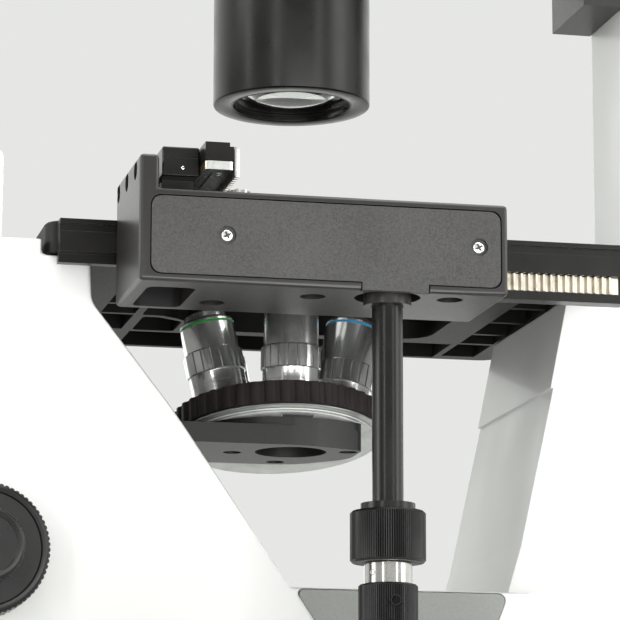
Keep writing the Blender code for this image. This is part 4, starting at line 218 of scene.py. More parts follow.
def textured_paint(name, dark, light, grain, depth, rough=0.55, edge=0.3, shine=0.5):
    """Wrinkle paint: a fine random grain of bumps, smoother on top than in the hollows, coloured paler on top with
    painted light and darker in the hollows with painted shade, over a random drift of tone.
    """
    paint = Finish(name).rounded(edge)
    grains = paint.noise(grain, 3.0, rough=0.6)
    fine = paint.noise(grain * 0.35, 2.0)
    height = paint.sum(grains, fine, 0.4)
    cloud = paint.noise(50, 2.0)
    # Painted light and shade: the grain's tops get the paler colour and its hollows the darker one, mixed with a
    # random cloud of tone.
    shade = paint.ramp(paint.sum(grains, cloud, 0.5), 0.0, 1.0, 0.45, 1.05)
    sheen = paint.ramp(height, rough + 0.06, rough - 0.06, 0.4, 1.0)
    tone = paint.mix(shade, colour(dark), colour(light))
    paint.set(Base_Color=tone, Roughness=sheen, Specular_IOR_Level=shine)
    return paint.bump(height, depth, 0.9).material


def satin_black(name="satin_black", tone="0B0A09", rough=0.30):
    """Black anodised aluminium turned on a lathe: satin, with a faint haze and a very fine grain."""
    metal = Finish(name).rounded(0.3)
    haze = metal.noise(15, 3.0)
    grain = metal.noise(0.7, 2.0)
    metal.set(
        Base_Color=metal.mix(metal.ramp(haze, 0.0, 1.0), colour(tone), colour("110F0E")),
        Roughness=metal.ramp(haze, rough - 0.04, rough + 0.05),
        Specular_IOR_Level=0.32,
    )
    return metal.bump(grain, 0.006, 0.5).material


def black_plastic():
    """Injection-moulded black plastic with a fine spark-eroded grain."""
    plastic = Finish("black_plastic")
    grain = plastic.noise(0.5, 2.0)
    shade = plastic.ramp(plastic.noise(10), 0.0, 1.0)
    plastic.set(
        Base_Color=plastic.mix(shade, colour("0F0E0E"), colour("161515")),
        Roughness=plastic.ramp(plastic.noise(20), 0.26, 0.34), Specular_IOR_Level=0.4,
    )
    return plastic.bump(grain, 0.02, 0.4).material


def black_rubber():
    """Moulded rubber with a warm tinge, dull, with a dusty bloom in places."""
    rubber = Finish("black_rubber")
    bloom = rubber.noise(12, 4.0)
    rubber.set(
        Base_Color=rubber.mix(rubber.ramp(bloom, 0.0, 0.6), colour("251E1F"), colour("3A3132")),
        Roughness=rubber.ramp(bloom, 0.50, 0.62),
        Specular_IOR_Level=0.4,
    )
    return rubber.bump(rubber.noise(0.6), 0.02, 0.6).material


# %% Metal finishes


def chrome(name="bright_chrome", light="FAFAF9", dark="F0F0EF"):
    """Bright chrome plate on turned brass: a polishing haze under a coat with sharp glints."""
    metal = Finish(name)
    haze = metal.noise(6, 3.0)
    metal.set(
        Base_Color=metal.mix(metal.ramp(haze, 0.0, 1.0), colour(light), colour(dark)),
        Metallic=0.92, Roughness=metal.ramp(haze, 0.19, 0.24), Coat_Weight=1.0, Coat_IOR=2.6,
        Coat_Roughness=0.03,
    )
    return metal.bump(metal.noise(2), 0.001, 0.3).material


def satin_chrome(name="satin_chrome", metallic=0.8, light="E4E6E3"):
    """Satin chrome plate, as on the nosepiece disc: bright but softly blurred."""
    metal = Finish(name)
    haze = metal.noise(10, 3.0)
    metal.set(
        Base_Color=metal.mix(metal.ramp(haze, 0.0, 1.0), colour(light), colour("DADCD9")),
        Metallic=metallic, Roughness=metal.ramp(haze, 0.34, 0.42),
    )
    return metal.bump(metal.noise(0.4), 0.002, 0.3).material


def ground_steel():
    """The bar's ground plate: bright on its ends, warmer along its edge, with painted shade dulling the colour of
    its broad downward face.
    """
    metal = Finish("ground_steel")
    lines = metal.noise(2, 2.0)
    # Painted shade: faces turned downwards get a dull grey in place of the bright steel colour.
    underside_shade = metal.ramp(metal.facing(0, 0, -1), 0.0, 1.0, 0.6, 0.9)
    edge = metal.ramp(metal.facing(0, -1, 0), 0.0, 1.0, 0.6, 0.9)
    warm = metal.mix(edge, colour("E9E9E6"), colour("CDBBA3"))
    metal.set(
        Base_Color=metal.mix(underside_shade, warm, colour("8B8F88")),
        Metallic=1.0, Roughness=metal.ramp(lines, 0.26, 0.32),
    )
    return metal.bump(lines, 0.001, 0.3).material


def machined_steel():
    """Bright steel with the fine lines of the cutter across it."""
    metal = Finish("machined_steel")
    lines = metal.noise(0.4, 2.0, metal.stretched(z=6.0))
    shade = metal.ramp(metal.noise(10), 0.0, 1.0)
    metal.set(
        Base_Color=metal.mix(shade, colour("B9B7B2"), colour("C9C7C3")),
        Metallic=1.0, Roughness=metal.ramp(lines, 0.22, 0.36),
    )
    return metal.bump(lines, 0.006, 0.6).material


def bronze(name="cut_bronze", dark="A08358", light="C4A878"):
    """Cut bronze, slightly darkened by oil."""
    metal = Finish(name)
    stain = metal.noise(4, 4.0)
    metal.set(
        Base_Color=metal.mix(metal.ramp(stain, 0.0, 1.0), colour(dark), colour(light)),
        Metallic=0.9, Roughness=metal.ramp(stain, 0.25, 0.42),
    )
    return metal.bump(metal.noise(0.5), 0.01, 0.5).material


def glass():
    """Clear optical glass, smooth but for the faintest haze."""
    clear = Finish("coated_glass")
    clear.set(
        Base_Color=colour("FAFCFB"), Roughness=clear.ramp(clear.noise(10), 0.0, 0.01),
        Transmission_Weight=1.0, IOR=1.52,
    )
    return clear.material


def frosted_glass():
    """Opal glass of the light port."""
    opal = Finish("opal_glass")
    opal.set(
        Base_Color=colour("E6EAE8"), Roughness=opal.ramp(opal.noise(4), 0.30, 0.40),
        Transmission_Weight=0.5, IOR=1.5,
    )
    return opal.material


def band_paint(name, code):
    """Enamel run into an engraved ring, a little uneven in tone."""
    paint = Finish(name)
    wear = paint.ramp(paint.noise(2), 0.0, 0.2)
    paint.set(Base_Color=paint.mix(wear, colour(code), colour("202020")), Roughness=0.4)
    return paint.material


# %% Every finish of the scene
ENAMEL = white_enamel()
# Each textured paint puts its paler colour on the tops of the grain and its darker one in the hollows, as painted
# light and shade.
BLOCK_PAINT = textured_paint("block_paint", "1D1B1B", "232121", grain=0.7, depth=0.008, rough=0.32)
COVER_PAINT = textured_paint(
    "cover_paint", "1A1918", "454442", grain=0.7, depth=0.22, rough=0.46, edge=0.2
)
STAGE_PAINT = textured_paint(
    "stage_paint", "0E0D0D", "141312", grain=0.9, depth=0.01, rough=0.48, edge=0.2, shine=0.22
)
PANEL_PAINT = textured_paint("panel_paint", "8A8C89", "989A97", grain=1.0, depth=0.06)
BAR_PAINT = textured_paint(
    "bar_paint", "1A1918", "242322", grain=0.8, depth=0.03, rough=0.42, edge=0.2
)
BLACK_PAINT = textured_paint("black_paint", "1A1919", "252423", grain=0.8, depth=0.03, rough=0.42)
SATIN = satin_black()
ROD_BLACK = satin_black("rod_black", "0D0C0B", 0.26)
PLASTIC = black_plastic()
RUBBER = black_rubber()
CHROME = chrome()
SATIN_CHROME = satin_chrome()
GROUND_STEEL = ground_steel()
STEEL = machined_steel()
SEAT_SILVER = satin_chrome("seat_silver", 0.1, "F4F5F2")
# Painted shade: the neck's steel is the chrome finish with a darkened colour, standing for the dark surroundings
# it mirrors.
NECK_STEEL_PAINTED_SHADE = chrome("neck_steel_painted_shade", "84827E", "94928E")
BRONZE = bronze()
PALE_BRONZE = bronze("pale_bronze", "C9C1B2", "E2DDD2")
GLASS = glass()
OPAL = frosted_glass()

# %% [markdown]
# ## Finishes on the frame's own nodes
# The real stand is a stoved white casting, its moving carriages are black, and what turns or slides
# on it is bare or plated metal. Each node gets the one finish of its part, listed by finish.

# %% Which finish goes on which node
NODE_FINISH = {
    ENAMEL: (
        "stand_casting", "lamp_column", "lamp_arm", "head_housing", "eye_tube_left",
        "eye_tube_right",
    ),
    BLOCK_PAINT: ("drive_block",),
    COVER_PAINT: ("cover_plate",),
    STAGE_PAINT: ("stage_plate",),
    PANEL_PAINT: ("side_panel_left", "side_panel_right"),
    BAR_PAINT: ("focus_bar",),
    BLACK_PAINT: ("base_plate", "condenser_carrier"),
    SATIN: (
        "stage_insert", "y_rail", "x_guide", "x_bar", "holder_angle", "condenser_tube",
        "stop_slider", "aperture_lever",
    ),
    ROD_BLACK: ("drive_tube",),
    PLASTIC: (
        "upper_knob", "lower_knob", "coarse_knob_left", "coarse_knob_right", "fine_knob_left",
        "fine_knob_right", "power_switch", "power_inlet", "brightness_knob", "carrier_clamp",
        "eyepiece_left", "eyepiece_right", "dioptre_ring",
    ),
    RUBBER: (
        "turret_grip", "foot_front_left", "foot_front_right", "foot_rear_left", "foot_rear_right",
    ),
    CHROME: (
        "objective_4", "objective_10", "objective_20", "objective_40", "objective_20_phase",
    ),
    SATIN_CHROME: ("turret_disc",),
    SEAT_SILVER: ("turret_seat",),
    NECK_STEEL_PAINTED_SHADE: ("inner_shaft",),
    GROUND_STEEL: ("bar_plate",),
    STEEL: ("x_rack", "x_last_gear", "holder_finger", "focus_tube"),
    BRONZE: ("y_idler", "x_middle_gear"),
    PALE_BRONZE: ("y_rack",),
    GLASS: ("condenser_lens", "lamp_lens"),
    OPAL: ("light_port_window",),
}
FINISH_OF = {name: material for material, names in NODE_FINISH.items() for name in names}


def paint_nodes():
    """Gives every node of the frame its finish."""
    for name, material in FINISH_OF.items():
        slots = NODES[name].data.materials
        slots.clear()
        slots.append(material)
    print("finishes:", len(NODE_FINISH), "on", len(FINISH_OF), "nodes")


paint_nodes()

# %% [markdown]
# ## Finer pieces
# Most of the real pieces are turned on a lathe. So is their model: a profile of radius and height is
# spun about its axis, with far more steps than the frame's solid has. The mesh is moved into place,
# so the object itself stays at the origin. REPLACED notes which nodes a finer piece stands for.

# %% Turning and placing
REPLACED = set()


def linked(name, data):
    """A new object of the scene that shows some data."""
    item = bpy.data.objects.new(name, data)
    bpy.context.scene.collection.objects.link(item)
    return item


def in_mm(points):
    """A profile in metres from one written in millimetres."""
    return [(out * MM, height * MM) for out, height in points]


def axis_frame(joint):
    """A matrix whose Z runs along a joint's axis, with the joint's point as origin."""
    return pointing(joint["axis"], joint["pos_m"])


def pointing(direction, place):
    """A matrix whose Z runs along a direction from a place."""
    axis = Vector(direction).normalized()
    guide = Vector((0, 1, 0)) if abs(axis.y) < 0.9 else Vector((1, 0, 0))
    side = guide.cross(axis).normalized()
    turn = Matrix((side, axis.cross(side), axis)).transposed().to_4x4()
    return Matrix.Translation(Vector(place)) @ turn


def add_piece(name, mesh, body, material, *nodes, smooth=35):
    """Adds a mesh as a piece that rides on a body and may stand for nodes of the frame."""
    piece = linked(name, mesh)
    mesh.materials.clear()
    mesh.materials.append(material)
    mesh.shade_smooth()
    mesh.set_sharp_from_angle(angle=math.radians(smooth))
    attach(piece, body)
    if nodes:
        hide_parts(*nodes)
        REPLACED.update(nodes)
    return piece


def ring_faces(rings, steps, closed):
    """Quads between neighbouring rings of a spun profile."""
    faces = []
    for ring in range(rings if closed else rings - 1):
        here, after = ring * steps, (ring + 1) % rings * steps
        for step in range(steps):
            turn = (step + 1) % steps
            faces.append((here + step, after + step, after + turn, here + turn))
    return faces


def spun_mesh(name, profile, place, steps=128, closed=False, ripple=None):
    """Spins a profile. ripple(angle, radius, height) may change the radius round the piece."""
    points = []
    for radius, height in profile:
        for angle in np.arange(steps) * (2 * math.pi / steps):
            out = radius if ripple is None else ripple(angle, radius, height)
            points.append((out * math.cos(angle), out * math.sin(angle), height))
    mesh = bpy.data.meshes.new(name)
    mesh.from_pydata(points, [], ring_faces(len(profile), steps, closed))
    return settled(mesh, place)


def settled(mesh, place):
    """Closes a mesh's seams, turns its faces outwards and moves it into place."""
    work = bmesh.new()
    work.from_mesh(mesh)
    bmesh.ops.remove_doubles(work, verts=work.verts, dist=0.0005 * MM)
    bmesh.ops.recalc_face_normals(work, faces=work.faces)
    bmesh.ops.transform(work, matrix=place, verts=work.verts)
    work.to_mesh(mesh)
    work.free()
    return mesh


def spun(name, profile, place, body, material, *nodes, smooth=35, **turning):
    """Adds a spun piece on its body; turning holds the steps, closed and ripple of spun_mesh."""
    add_piece(name, spun_mesh(name, profile, place, **turning), body, material, *nodes, smooth=smooth)


def chamfered(corners, size, share=0.4):
    """Breaks the corners of a profile; a chamfer takes at most a share of the stretch beside it."""
    points = [corners[0]]
    for before, here, after in zip(corners, corners[1:], corners[2:]):
        for other in (before, after):
            away = Vector(other) - Vector(here)
            step = min(size, away.length * share)
            points.append(tuple(Vector(here) + away.normalized() * step))
    points.append(corners[-1])
    return points


def evaluated_mesh(item):
    """The plain mesh of an object with its modifiers applied."""
    shape = item.evaluated_get(bpy.context.evaluated_depsgraph_get())
    return bpy.data.meshes.new_from_object(shape)


def carved(mesh, cutter):
    """A mesh with another one cut out of it."""
    target, tool = linked("carved", mesh), linked("carver", cutter)
    modifier = target.modifiers.new("cut", "BOOLEAN")
    modifier.operation = "DIFFERENCE"
    modifier.solver = "EXACT"
    modifier.use_self = True
    modifier.object = tool
    result = evaluated_mesh(target)
    for item in (target, tool):
        bpy.data.objects.remove(item)
    return result


# %% [markdown]
# ## Ribs
# The grips of the nosepiece and of the knobs are moulded with equal upright ribs. They could be cut
# into each core, but equal ribs follow a rule, so one node tree makes them all: points on a circle,
# a rib on each, all turned outwards. The number and the sizes of the ribs are its inputs.

# %% Tree of ribs
RIB_SIDES = 24
RIB_INPUTS = {
    "Count": "NodeSocketInt", "Radius": "NodeSocketFloat", "Width": "NodeSocketFloat",
    "Rise": "NodeSocketFloat", "Height": "NodeSocketFloat", "Finish": "NodeSocketMaterial",
}


def rib_tree():
    """Geometry nodes that set upright ribs round a circle."""
    tree = bpy.data.node_groups.new("ring_of_ribs", "GeometryNodeTree")
    for name, kind in RIB_INPUTS.items():
        tree.interface.new_socket(name, in_out="INPUT", socket_type=kind)
    tree.interface.new_socket("Geometry", in_out="OUTPUT", socket_type="NodeSocketGeometry")
    given = add_node(tree, "NodeGroupInput").outputs
    circle = add_node(
        tree, "GeometryNodeMeshCircle", Vertices=given["Count"], Radius=given["Radius"]
    )
    rib = add_node(
        tree, "GeometryNodeMeshCylinder", Vertices=RIB_SIDES, Radius=1.0, Depth=given["Height"]
    )
    point = add_node(tree, "GeometryNodeInputPosition").outputs["Position"]
    outwards = add_node(tree, "FunctionNodeAlignRotationToVector", axis="X", Vector=point)
    half_width = multiply_add(tree, given["Width"], 0.5, 0.0)
    size = add_node(tree, "ShaderNodeCombineXYZ", X=given["Rise"], Y=half_width, Z=1.0)
    ring = add_node(
        tree, "GeometryNodeInstanceOnPoints", Points=circle.outputs["Mesh"],
        Instance=rib.outputs["Mesh"], Rotation=outwards.outputs["Rotation"],
        Scale=size.outputs["Vector"],
    )
    real = add_node(tree, "GeometryNodeRealizeInstances", Geometry=ring.outputs["Instances"])
    paint = add_node(
        tree, "GeometryNodeSetMaterial", Geometry=real.outputs["Geometry"], Material=given["Finish"]
    )
    add_node(tree, "NodeGroupOutput", Geometry=paint.outputs["Geometry"])
    print("rib tree:", len(tree.nodes), "nodes")
    return tree


RIBS = rib_tree()


def ribs(name, node, place, material, **sizes):
    """Adds a ring of ribs on a node's body, centred on a place and standing along its Z."""
    shape = linked(name, bpy.data.meshes.new(name))
    modifier = shape.modifiers.new("ribs", "NODES")
    modifier.node_group = RIBS
    sockets = {item.name: item.identifier for item in RIBS.interface.items_tree}
    for label, value in dict(sizes, Finish=material).items():
        modifier[sockets[label]] = value
    mesh = evaluated_mesh(shape)
    bpy.data.objects.remove(shape)
    mesh.transform(place)
    piece = add_piece(name, mesh, BODY_OF[node], material, smooth=40)


# %% [markdown]
# ## Condenser
# The tube is one long black turning. Its lower rim is a flat ring with a fine raised lip inside, and
# the lens sits in the bore behind it. The rim and the lens catch most of the light here, so both are
# turned anew, and the lens gets true arcs, because glass shows every facet twice.

# %% Condenser tube, up from its lower rim
TUBE_RADIUS, BORE_RADIUS, LENS_SEAT = 34.46 * MM, 23.8 * MM, 25.75 * MM
COLLAR_RADIUS, FLANGE_RADIUS = 29 * MM, 42 * MM
SHOULDER, FLANGE = 78.3 * MM, 86.0 * MM
HOUSING_SIZE, HOUSING_HEIGHT, HOUSING_CORNER = (96 * MM, 76 * MM), 16 * MM, 8 * MM
HOUSING_HOLE = 27 * MM
CORNER_STEPS = 8
SLIDER_WIDTH, SLIDER_HEIGHT = 44.6 * MM, 6.6 * MM
FAR = 120 * MM  # longer than anything that is cut with it


def barrel_mesh(place, height):
    """Collar, flange, tube, rim with its lip, and bore."""
    profile = [
        (COLLAR_RADIUS, height), (COLLAR_RADIUS, FLANGE), (FLANGE_RADIUS, FLANGE),
        (FLANGE_RADIUS, SHOULDER), (TUBE_RADIUS, SHOULDER), (TUBE_RADIUS, 0.5 * MM),
        (TUBE_RADIUS - 0.5 * MM, 0), (26.9 * MM, 0), (26.6 * MM, 0.5 * MM), (26.2 * MM, 0.5 * MM),
        (26.0 * MM, 0.15 * MM), (LENS_SEAT, 0.15 * MM), (LENS_SEAT, 3.0 * MM),
        (BORE_RADIUS, 3.2 * MM), (BORE_RADIUS, height),
    ]
    return spun_mesh("condenser_barrel", chamfered(profile, 0.12 * MM), place, 256, closed=True)


def slab_mesh(size, low, high, corner, place):
    """A rectangular slab with round corners."""
    half_x, half_y = size[0] / 2 - corner, size[1] / 2 - corner
    outline = []
    for x, y, start in ((1, 1, 0), (-1, 1, 90), (-1, -1, 180), (1, -1, 270)):
        for step in range(CORNER_STEPS + 1):
            angle = math.radians(start + step * 90 / CORNER_STEPS)
            bend = corner * math.cos(angle), corner * math.sin(angle)
            outline.append((x * half_x + bend[0], y * half_y + bend[1]))
    work = bmesh.new()
    bottom = work.faces.new([work.verts.new((x, y, low)) for x, y in outline])
    top = bmesh.ops.extrude_face_region(work, geom=[bottom])["geom"]
    lifted = [item for item in top if isinstance(item, bmesh.types.BMVert)]
    bmesh.ops.translate(work, vec=(0, 0, high - low), verts=lifted)
    bmesh.ops.recalc_face_normals(work, faces=work.faces)
    mesh = bpy.data.meshes.new("slider_housing")
    work.to_mesh(mesh)
    work.free()
    mesh.transform(place)
    return mesh


def slot_cutter(place):
    """A bar that cuts the stop slider's slot across the housing and the collar."""
    slot = bmesh.new()
    bmesh.ops.create_cube(slot, size=1)
    bmesh.ops.scale(slot, vec=(FAR, SLIDER_WIDTH, SLIDER_HEIGHT), verts=slot.verts)
    bmesh.ops.translate(slot, vec=(0, 0, FLANGE + HOUSING_HEIGHT / 2), verts=slot.verts)
    mesh = bpy.data.meshes.new("slider_slot")
    slot.to_mesh(mesh)
    slot.free()
    mesh.transform(place)
    return mesh


def condenser_tube():
    """Adds the turned tube and the housing of the stop slider on top, with the slot through both."""
    low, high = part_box("condenser_tube")
    lens_low, lens_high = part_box("condenser_lens")
    place = Matrix.Translation(((lens_low.x + lens_high.x) / 2, (lens_low.y + lens_high.y) / 2, low.z))
    slot = slot_cutter(place)
    barrel = carved(barrel_mesh(place, high.z - low.z), slot)
    add_piece("condenser_barrel", barrel, "condenser", SATIN, "condenser_tube")
    hole_profile = [(0, FAR), (HOUSING_HOLE, FAR), (HOUSING_HOLE, 50 * MM), (0, 50 * MM)]
    hole = spun_mesh("housing_hole", hole_profile, place)
    bottom, top = FLANGE - 0.5 * MM, FLANGE + HOUSING_HEIGHT
    housing = slab_mesh(HOUSING_SIZE, bottom, top, HOUSING_CORNER, place)
    piece = add_piece("slider_housing", carved(carved(housing, hole), slot), "condenser", SATIN)


# %% Lenses
ARC_STEPS = 24


def bulged_lens(node, name, bulge, upper_too):
    """Adds a lens whose lower face, and its upper one too if asked, is a true arc."""
    low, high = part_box(node)
    place = Matrix.Translation(((low.x + high.x) / 2, (low.y + high.y) / 2, 0))
    radius = (high.x - low.x) / 2
    sphere = (radius ** 2 + bulge ** 2) / (2 * bulge)
    sweep = math.asin(radius / sphere) / ARC_STEPS
    arc = [
        (sphere * math.sin(sweep * i), sphere * (1 - math.cos(sweep * i)))
        for i in range(ARC_STEPS + 1)
    ]
    upper = [(out, high.z - rise * upper_too) for out, rise in arc]
    lower = [(out, low.z + rise) for out, rise in reversed(arc)]
    spun(name, upper + lower, place, BODY_OF[node], GLASS, node, steps=160)
    print(name, "sphere radius:", round(sphere / MM, 1), "mm")


condenser_tube()
bulged_lens("condenser_lens", "condenser_front_lens", 5.2 * MM, True)
bulged_lens("lamp_lens", "lamp_front_lens", 3.6 * MM, False)

# %% [markdown]
# ## Screws
# Small cross-recess and socket screws hold the cover, the bar's plate, the carriage and the drive.
# Each head is turned with a low dome, and its recess is cut with a Boolean, because a dark recess
# with real walls is what makes a screw readable from afar.

# %% Screw heads
DOME = ((0, 1), (0.45, 0.93), (0.75, 0.72), (0.92, 0.42), (1, 0.05))
HEXAGON = 6


def socket_cutter(name, radius, depth, place):
    """A six-sided prism that cuts a socket from the top of a screw."""
    above = 0.5 * MM
    profile = [(0, above), (radius, above), (radius, -depth), (0, -depth - radius * 0.4)]
    return spun_mesh(name, profile, place, HEXAGON)


def cross_cutter(name, radius, depth, place, turned=0.5):
    """Two bars across each other, turned a little off the level."""
    arms = bmesh.new()
    for turn in (0, math.pi / 2):
        bar = bmesh.ops.create_cube(arms, size=1)["verts"]
        size = Matrix.Diagonal((radius * 1.3, radius * 0.3, depth * 2, 1))
        bmesh.ops.transform(arms, matrix=Matrix.Rotation(turn + turned, 4, "Z") @ size, verts=bar)
    mesh = bpy.data.meshes.new(name)
    arms.to_mesh(mesh)
    arms.free()
    mesh.transform(place)
    return mesh


def screw(name, body, spot, direction, radius, kind="cross", material=CHROME):
    """Adds a screw head with a low dome, seated at a spot and facing a direction."""
    place = pointing(direction, spot)
    rise, foot = radius * 0.32, -radius * 0.25
    dome = [(radius * out, rise * up) for out, up in DOME]
    head = spun_mesh(name, dome + [(radius * 0.98, foot), (0, foot)], place, 48)
    if kind == "cross":
        tool = cross_cutter(name + "_cross", radius, rise * 1.2, place)
    else:
        tool = socket_cutter(name + "_socket", radius * 0.55, rise * 1.6, place)
    add_piece(name, carved(head, tool), body, material, smooth=30)


# %% Where the screws sit
AXIS_X, AXIS_Y, OBJECT_PLANE = -15.5, 48.0, 215.0
COVER_FACE, COVER_MIDDLE = 158.9, -22.8
COVER_SCREWS = {"front": -59.5, "rear": 40.3}
NECK_TURN, NECK_RADIUS, NECK_SCREW_HEIGHT = -0.95, 8.9 * MM, -149.6


def world_spot(x, y, z):
    """A point given in millimetres from the optical axis and up from the object plane."""
    return Vector((x + AXIS_X, y + AXIS_Y, z + OBJECT_PLANE)) * MM


def cover_screws():
    """The two screws of the grey cover."""
    for word, y in COVER_SCREWS.items():
        spot = world_spot(COVER_FACE, y, COVER_MIDDLE)
        screw("cover_screw_" + word, "y_carriage", spot, (1, 0, 0), 2.5 * MM)


def carriage_screws():
    """The small screws in the carriage's pocket and in its guide."""
    pocket = world_spot(131.6, -88.05, -39.6)
    screw("pocket_screw", "y_carriage", pocket, (0, 1, -0.2), 1.5 * MM, "hex")
    spot = world_spot(0, -74.7, 5.8)
    spot.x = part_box("x_guide")[1].x
    screw("guide_screw", "y_carriage", spot, (1, 0, 0), 0.7 * MM, "hex")


def plate_screw():
    """The screw under the bar's polished plate."""
    spot = world_spot(150.3, -61.4, 0)
    spot.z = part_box("bar_plate")[0].z
    screw("bar_plate_screw", "specimen_slide", spot, (0, 0, -1), 1.6 * MM)


def neck_screw():
    """The set screw in the bright neck of the drive."""
    drive = Vector(JOINTS["y_control_turn"]["pos_m"])
    outwards = Vector((math.cos(NECK_TURN), math.sin(NECK_TURN), 0))
    spot = Vector((drive.x, drive.y, 0)) + outwards * NECK_RADIUS
    spot.z = world_spot(0, 0, NECK_SCREW_HEIGHT).z
    screw("neck_screw", "x_control", spot, outwards, 1.5 * MM, "hex", STEEL)


cover_screws()
plate_screw()
carriage_screws()
neck_screw()

# %% [markdown]
# ## Nosepiece
# Five objectives stand on the nosepiece, each a chromed turning with a band of flats to grip and a
# ring whose colour follows the usual code: red, yellow, green and blue for rising magnification. One
# profile serves all of them, with the heights of the band and of the ring as its inputs.

# %% Stations of the nosepiece
TURRET_AXIS = axis_frame(JOINTS["nosepiece_turn"])
STATION_COUNT = 5
STATION_RADIUS = 27.4 * MM
LEAN = math.radians(11)
OBJECTIVE_MIDDLE = 21.75 * MM


def station(number):
    """The matrix of one of the five places, with Z up the objective's own axis."""
    turn = Matrix.Rotation(number * 2 * math.pi / STATION_COUNT, 4, "Z")
    out = Matrix.Translation((STATION_RADIUS, 0, 0))
    return TURRET_AXIS @ turn @ out @ Matrix.Rotation(LEAN, 4, "Y")


def station_of(node):
    """The place whose axis runs through a node's box."""
    low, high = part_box(node)
    middle = (low + high) / 2
    centre = Vector((0, 0, OBJECTIVE_MIDDLE))
    places = [station(number) for number in range(STATION_COUNT)]
    return min(places, key=lambda place: (place @ centre - middle).length)


# %% Objectives, in millimetres up from the nosepiece's disc
# Each row has the colour of the ring, the foot of the band and the height of the ring.
RINGS = {
    "objective_4": ("C0392B", 10.3, 33.0), "objective_10": ("E2C71E", 10.3, 33.0),
    "objective_20": ("1F9A3C", 14.3, 36.6), "objective_20_phase": ("1F9A3C", 10.3, 38.2),
    "objective_40": ("2AA3DE", 10.3, 38.3),
}
BARREL, BAND, FOOT, RING_FLOOR = 12.0, 13.1, 12.3, 11.88
NOSE, NOSE_FLOOR, NOSE_TOP = 2.98, 41.9, 43.2
BAND_HEIGHT = 9.8
FLAT_COUNT, GROOVE_SHARE, GROOVE_DEPTH = 20, 0.07, 0.35


def flats(band_foot, band_top):
    """A ripple of narrow upright grooves that leave flats between them on the band."""
    def ripple(angle, radius, height):
        if not band_foot + 0.1 < height / MM < band_top + 0.1:
            return radius
        turn = (angle * FLAT_COUNT / (2 * math.pi)) % 1.0
        return radius - (GROOVE_DEPTH * MM if min(turn, 1 - turn) < GROOVE_SHARE else 0.0)
    return ripple


def objective_profile(band_foot, band_top, ring):
    """Nose, shoulder, groove of the ring, band and foot, from the top down."""
    shoulder = ring + 1.4
    nose = [
        (0.0, NOSE_FLOOR), (NOSE, NOSE_FLOOR), (NOSE, NOSE_TOP), (5.5, 43.4), (8.8, 42.2),
        (9.1, NOSE_FLOOR), (9.2, max(37.8, shoulder + 1.9)),
    ]
    barrel = [
        (BARREL - 0.3, shoulder + 0.4), (BARREL, shoulder), (BARREL, ring + 0.6),
        (RING_FLOOR, ring + 0.5), (RING_FLOOR, ring - 0.5), (BARREL, ring - 0.6),
        (BARREL, band_top + 0.8),
    ]
    band = [
        (12.4, band_top + 0.5), (BAND - 0.2, band_top + 0.1), (BAND, band_top - 0.1),
        (BAND, band_foot + 0.4), (BAND - 0.2, band_foot + 0.15), (12.35, band_foot),
    ]
    foot = [
        (FOOT, band_foot - 0.2), (FOOT, band_foot - 4.6), (FOOT - 0.15, band_foot - 4.7),
        (FOOT - 0.15, band_foot - 5.0), (FOOT, band_foot - 5.1), (FOOT, 0.6), (FOOT - 0.2, 0.35),
        (0.0, 0.35),
    ]
    return in_mm(nose + barrel + band + foot)


def objective(node, code, band_foot, ring):
    """Adds a chromed objective with its coloured ring and its front lens."""
    place = station_of(node)
    band_top = band_foot + BAND_HEIGHT
    spun(
        node + "_barrel", objective_profile(band_foot, band_top, ring), place, "nosepiece", CHROME,
        node, steps=200, ripple=flats(band_foot, band_top), smooth=20,
    )
    bead = in_mm([
        (11.80, ring + 0.52), (11.95, ring + 0.4), (11.95, ring - 0.4), (11.80, ring - 0.52),
    ])
    paint = band_paint(node + "_ring_paint", code)
    spun(node + "_ring", bead, place, "nosepiece", paint, steps=160, closed=True)
    lens = in_mm([(0, 42.6), (2.7, 42.9), (2.9, 42.0), (0, 42.0)])
    spun(node + "_front_lens", lens, place, "nosepiece", GLASS, steps=48)


# %% Grip of the nosepiece
GRIP_RIBS = 44


def grip_ring():
    """Adds the black grip: a plain ring with upright ribs."""
    profile = in_mm([
        (41.0, -0.1), (45.3, -0.1), (45.9, -0.6), (45.9, -10.0), (45.3, -10.45), (41.0, -10.45),
    ])
    spun(
        "turret_grip_ring", profile, TURRET_AXIS, "nosepiece", RUBBER, "turret_grip", steps=256,
        closed=True,
    )
    middle = TURRET_AXIS @ Matrix.Translation((0, 0, -5.3 * MM))
    ribs(
        "turret_grip_ribs", "turret_grip", middle, RUBBER, Count=GRIP_RIBS, Radius=45.5 * MM,
        Width=4.7 * MM, Rise=1.25 * MM, Height=9.6 * MM,
    )


for node_name, row in RINGS.items():
    objective(node_name, *row)
grip_ring()
print("objectives:", len(RINGS), "and a grip with", GRIP_RIBS, "ribs")

# %% [markdown]
# ## Stage drive
# Two coaxial knobs move the specimen: the upper one along Y, the lower one, on its bright neck, along
# X. Both have a fine straight knurl. Its flutes are a ripple of the spun radius, since they meet
# without a gap and need no mesh of their own.

# %% Knurl
SKIN = 0.1 * MM  # how far the finer knobs stay inside the box of the frame's
BORE_LIMIT = 5 * MM  # points nearer the axis than this belong to a bore


def knurl(count, depth, low, high):
    """A ripple of fine straight flutes between two heights, on the outside only."""
    def ripple(angle, radius, height):
        if radius < BORE_LIMIT or not low < height < high:
            return radius
        turn = (angle * count / (2 * math.pi)) % 1.0
        return radius - depth * abs(2 * turn - 1)
    return ripple


# %% Drive knobs


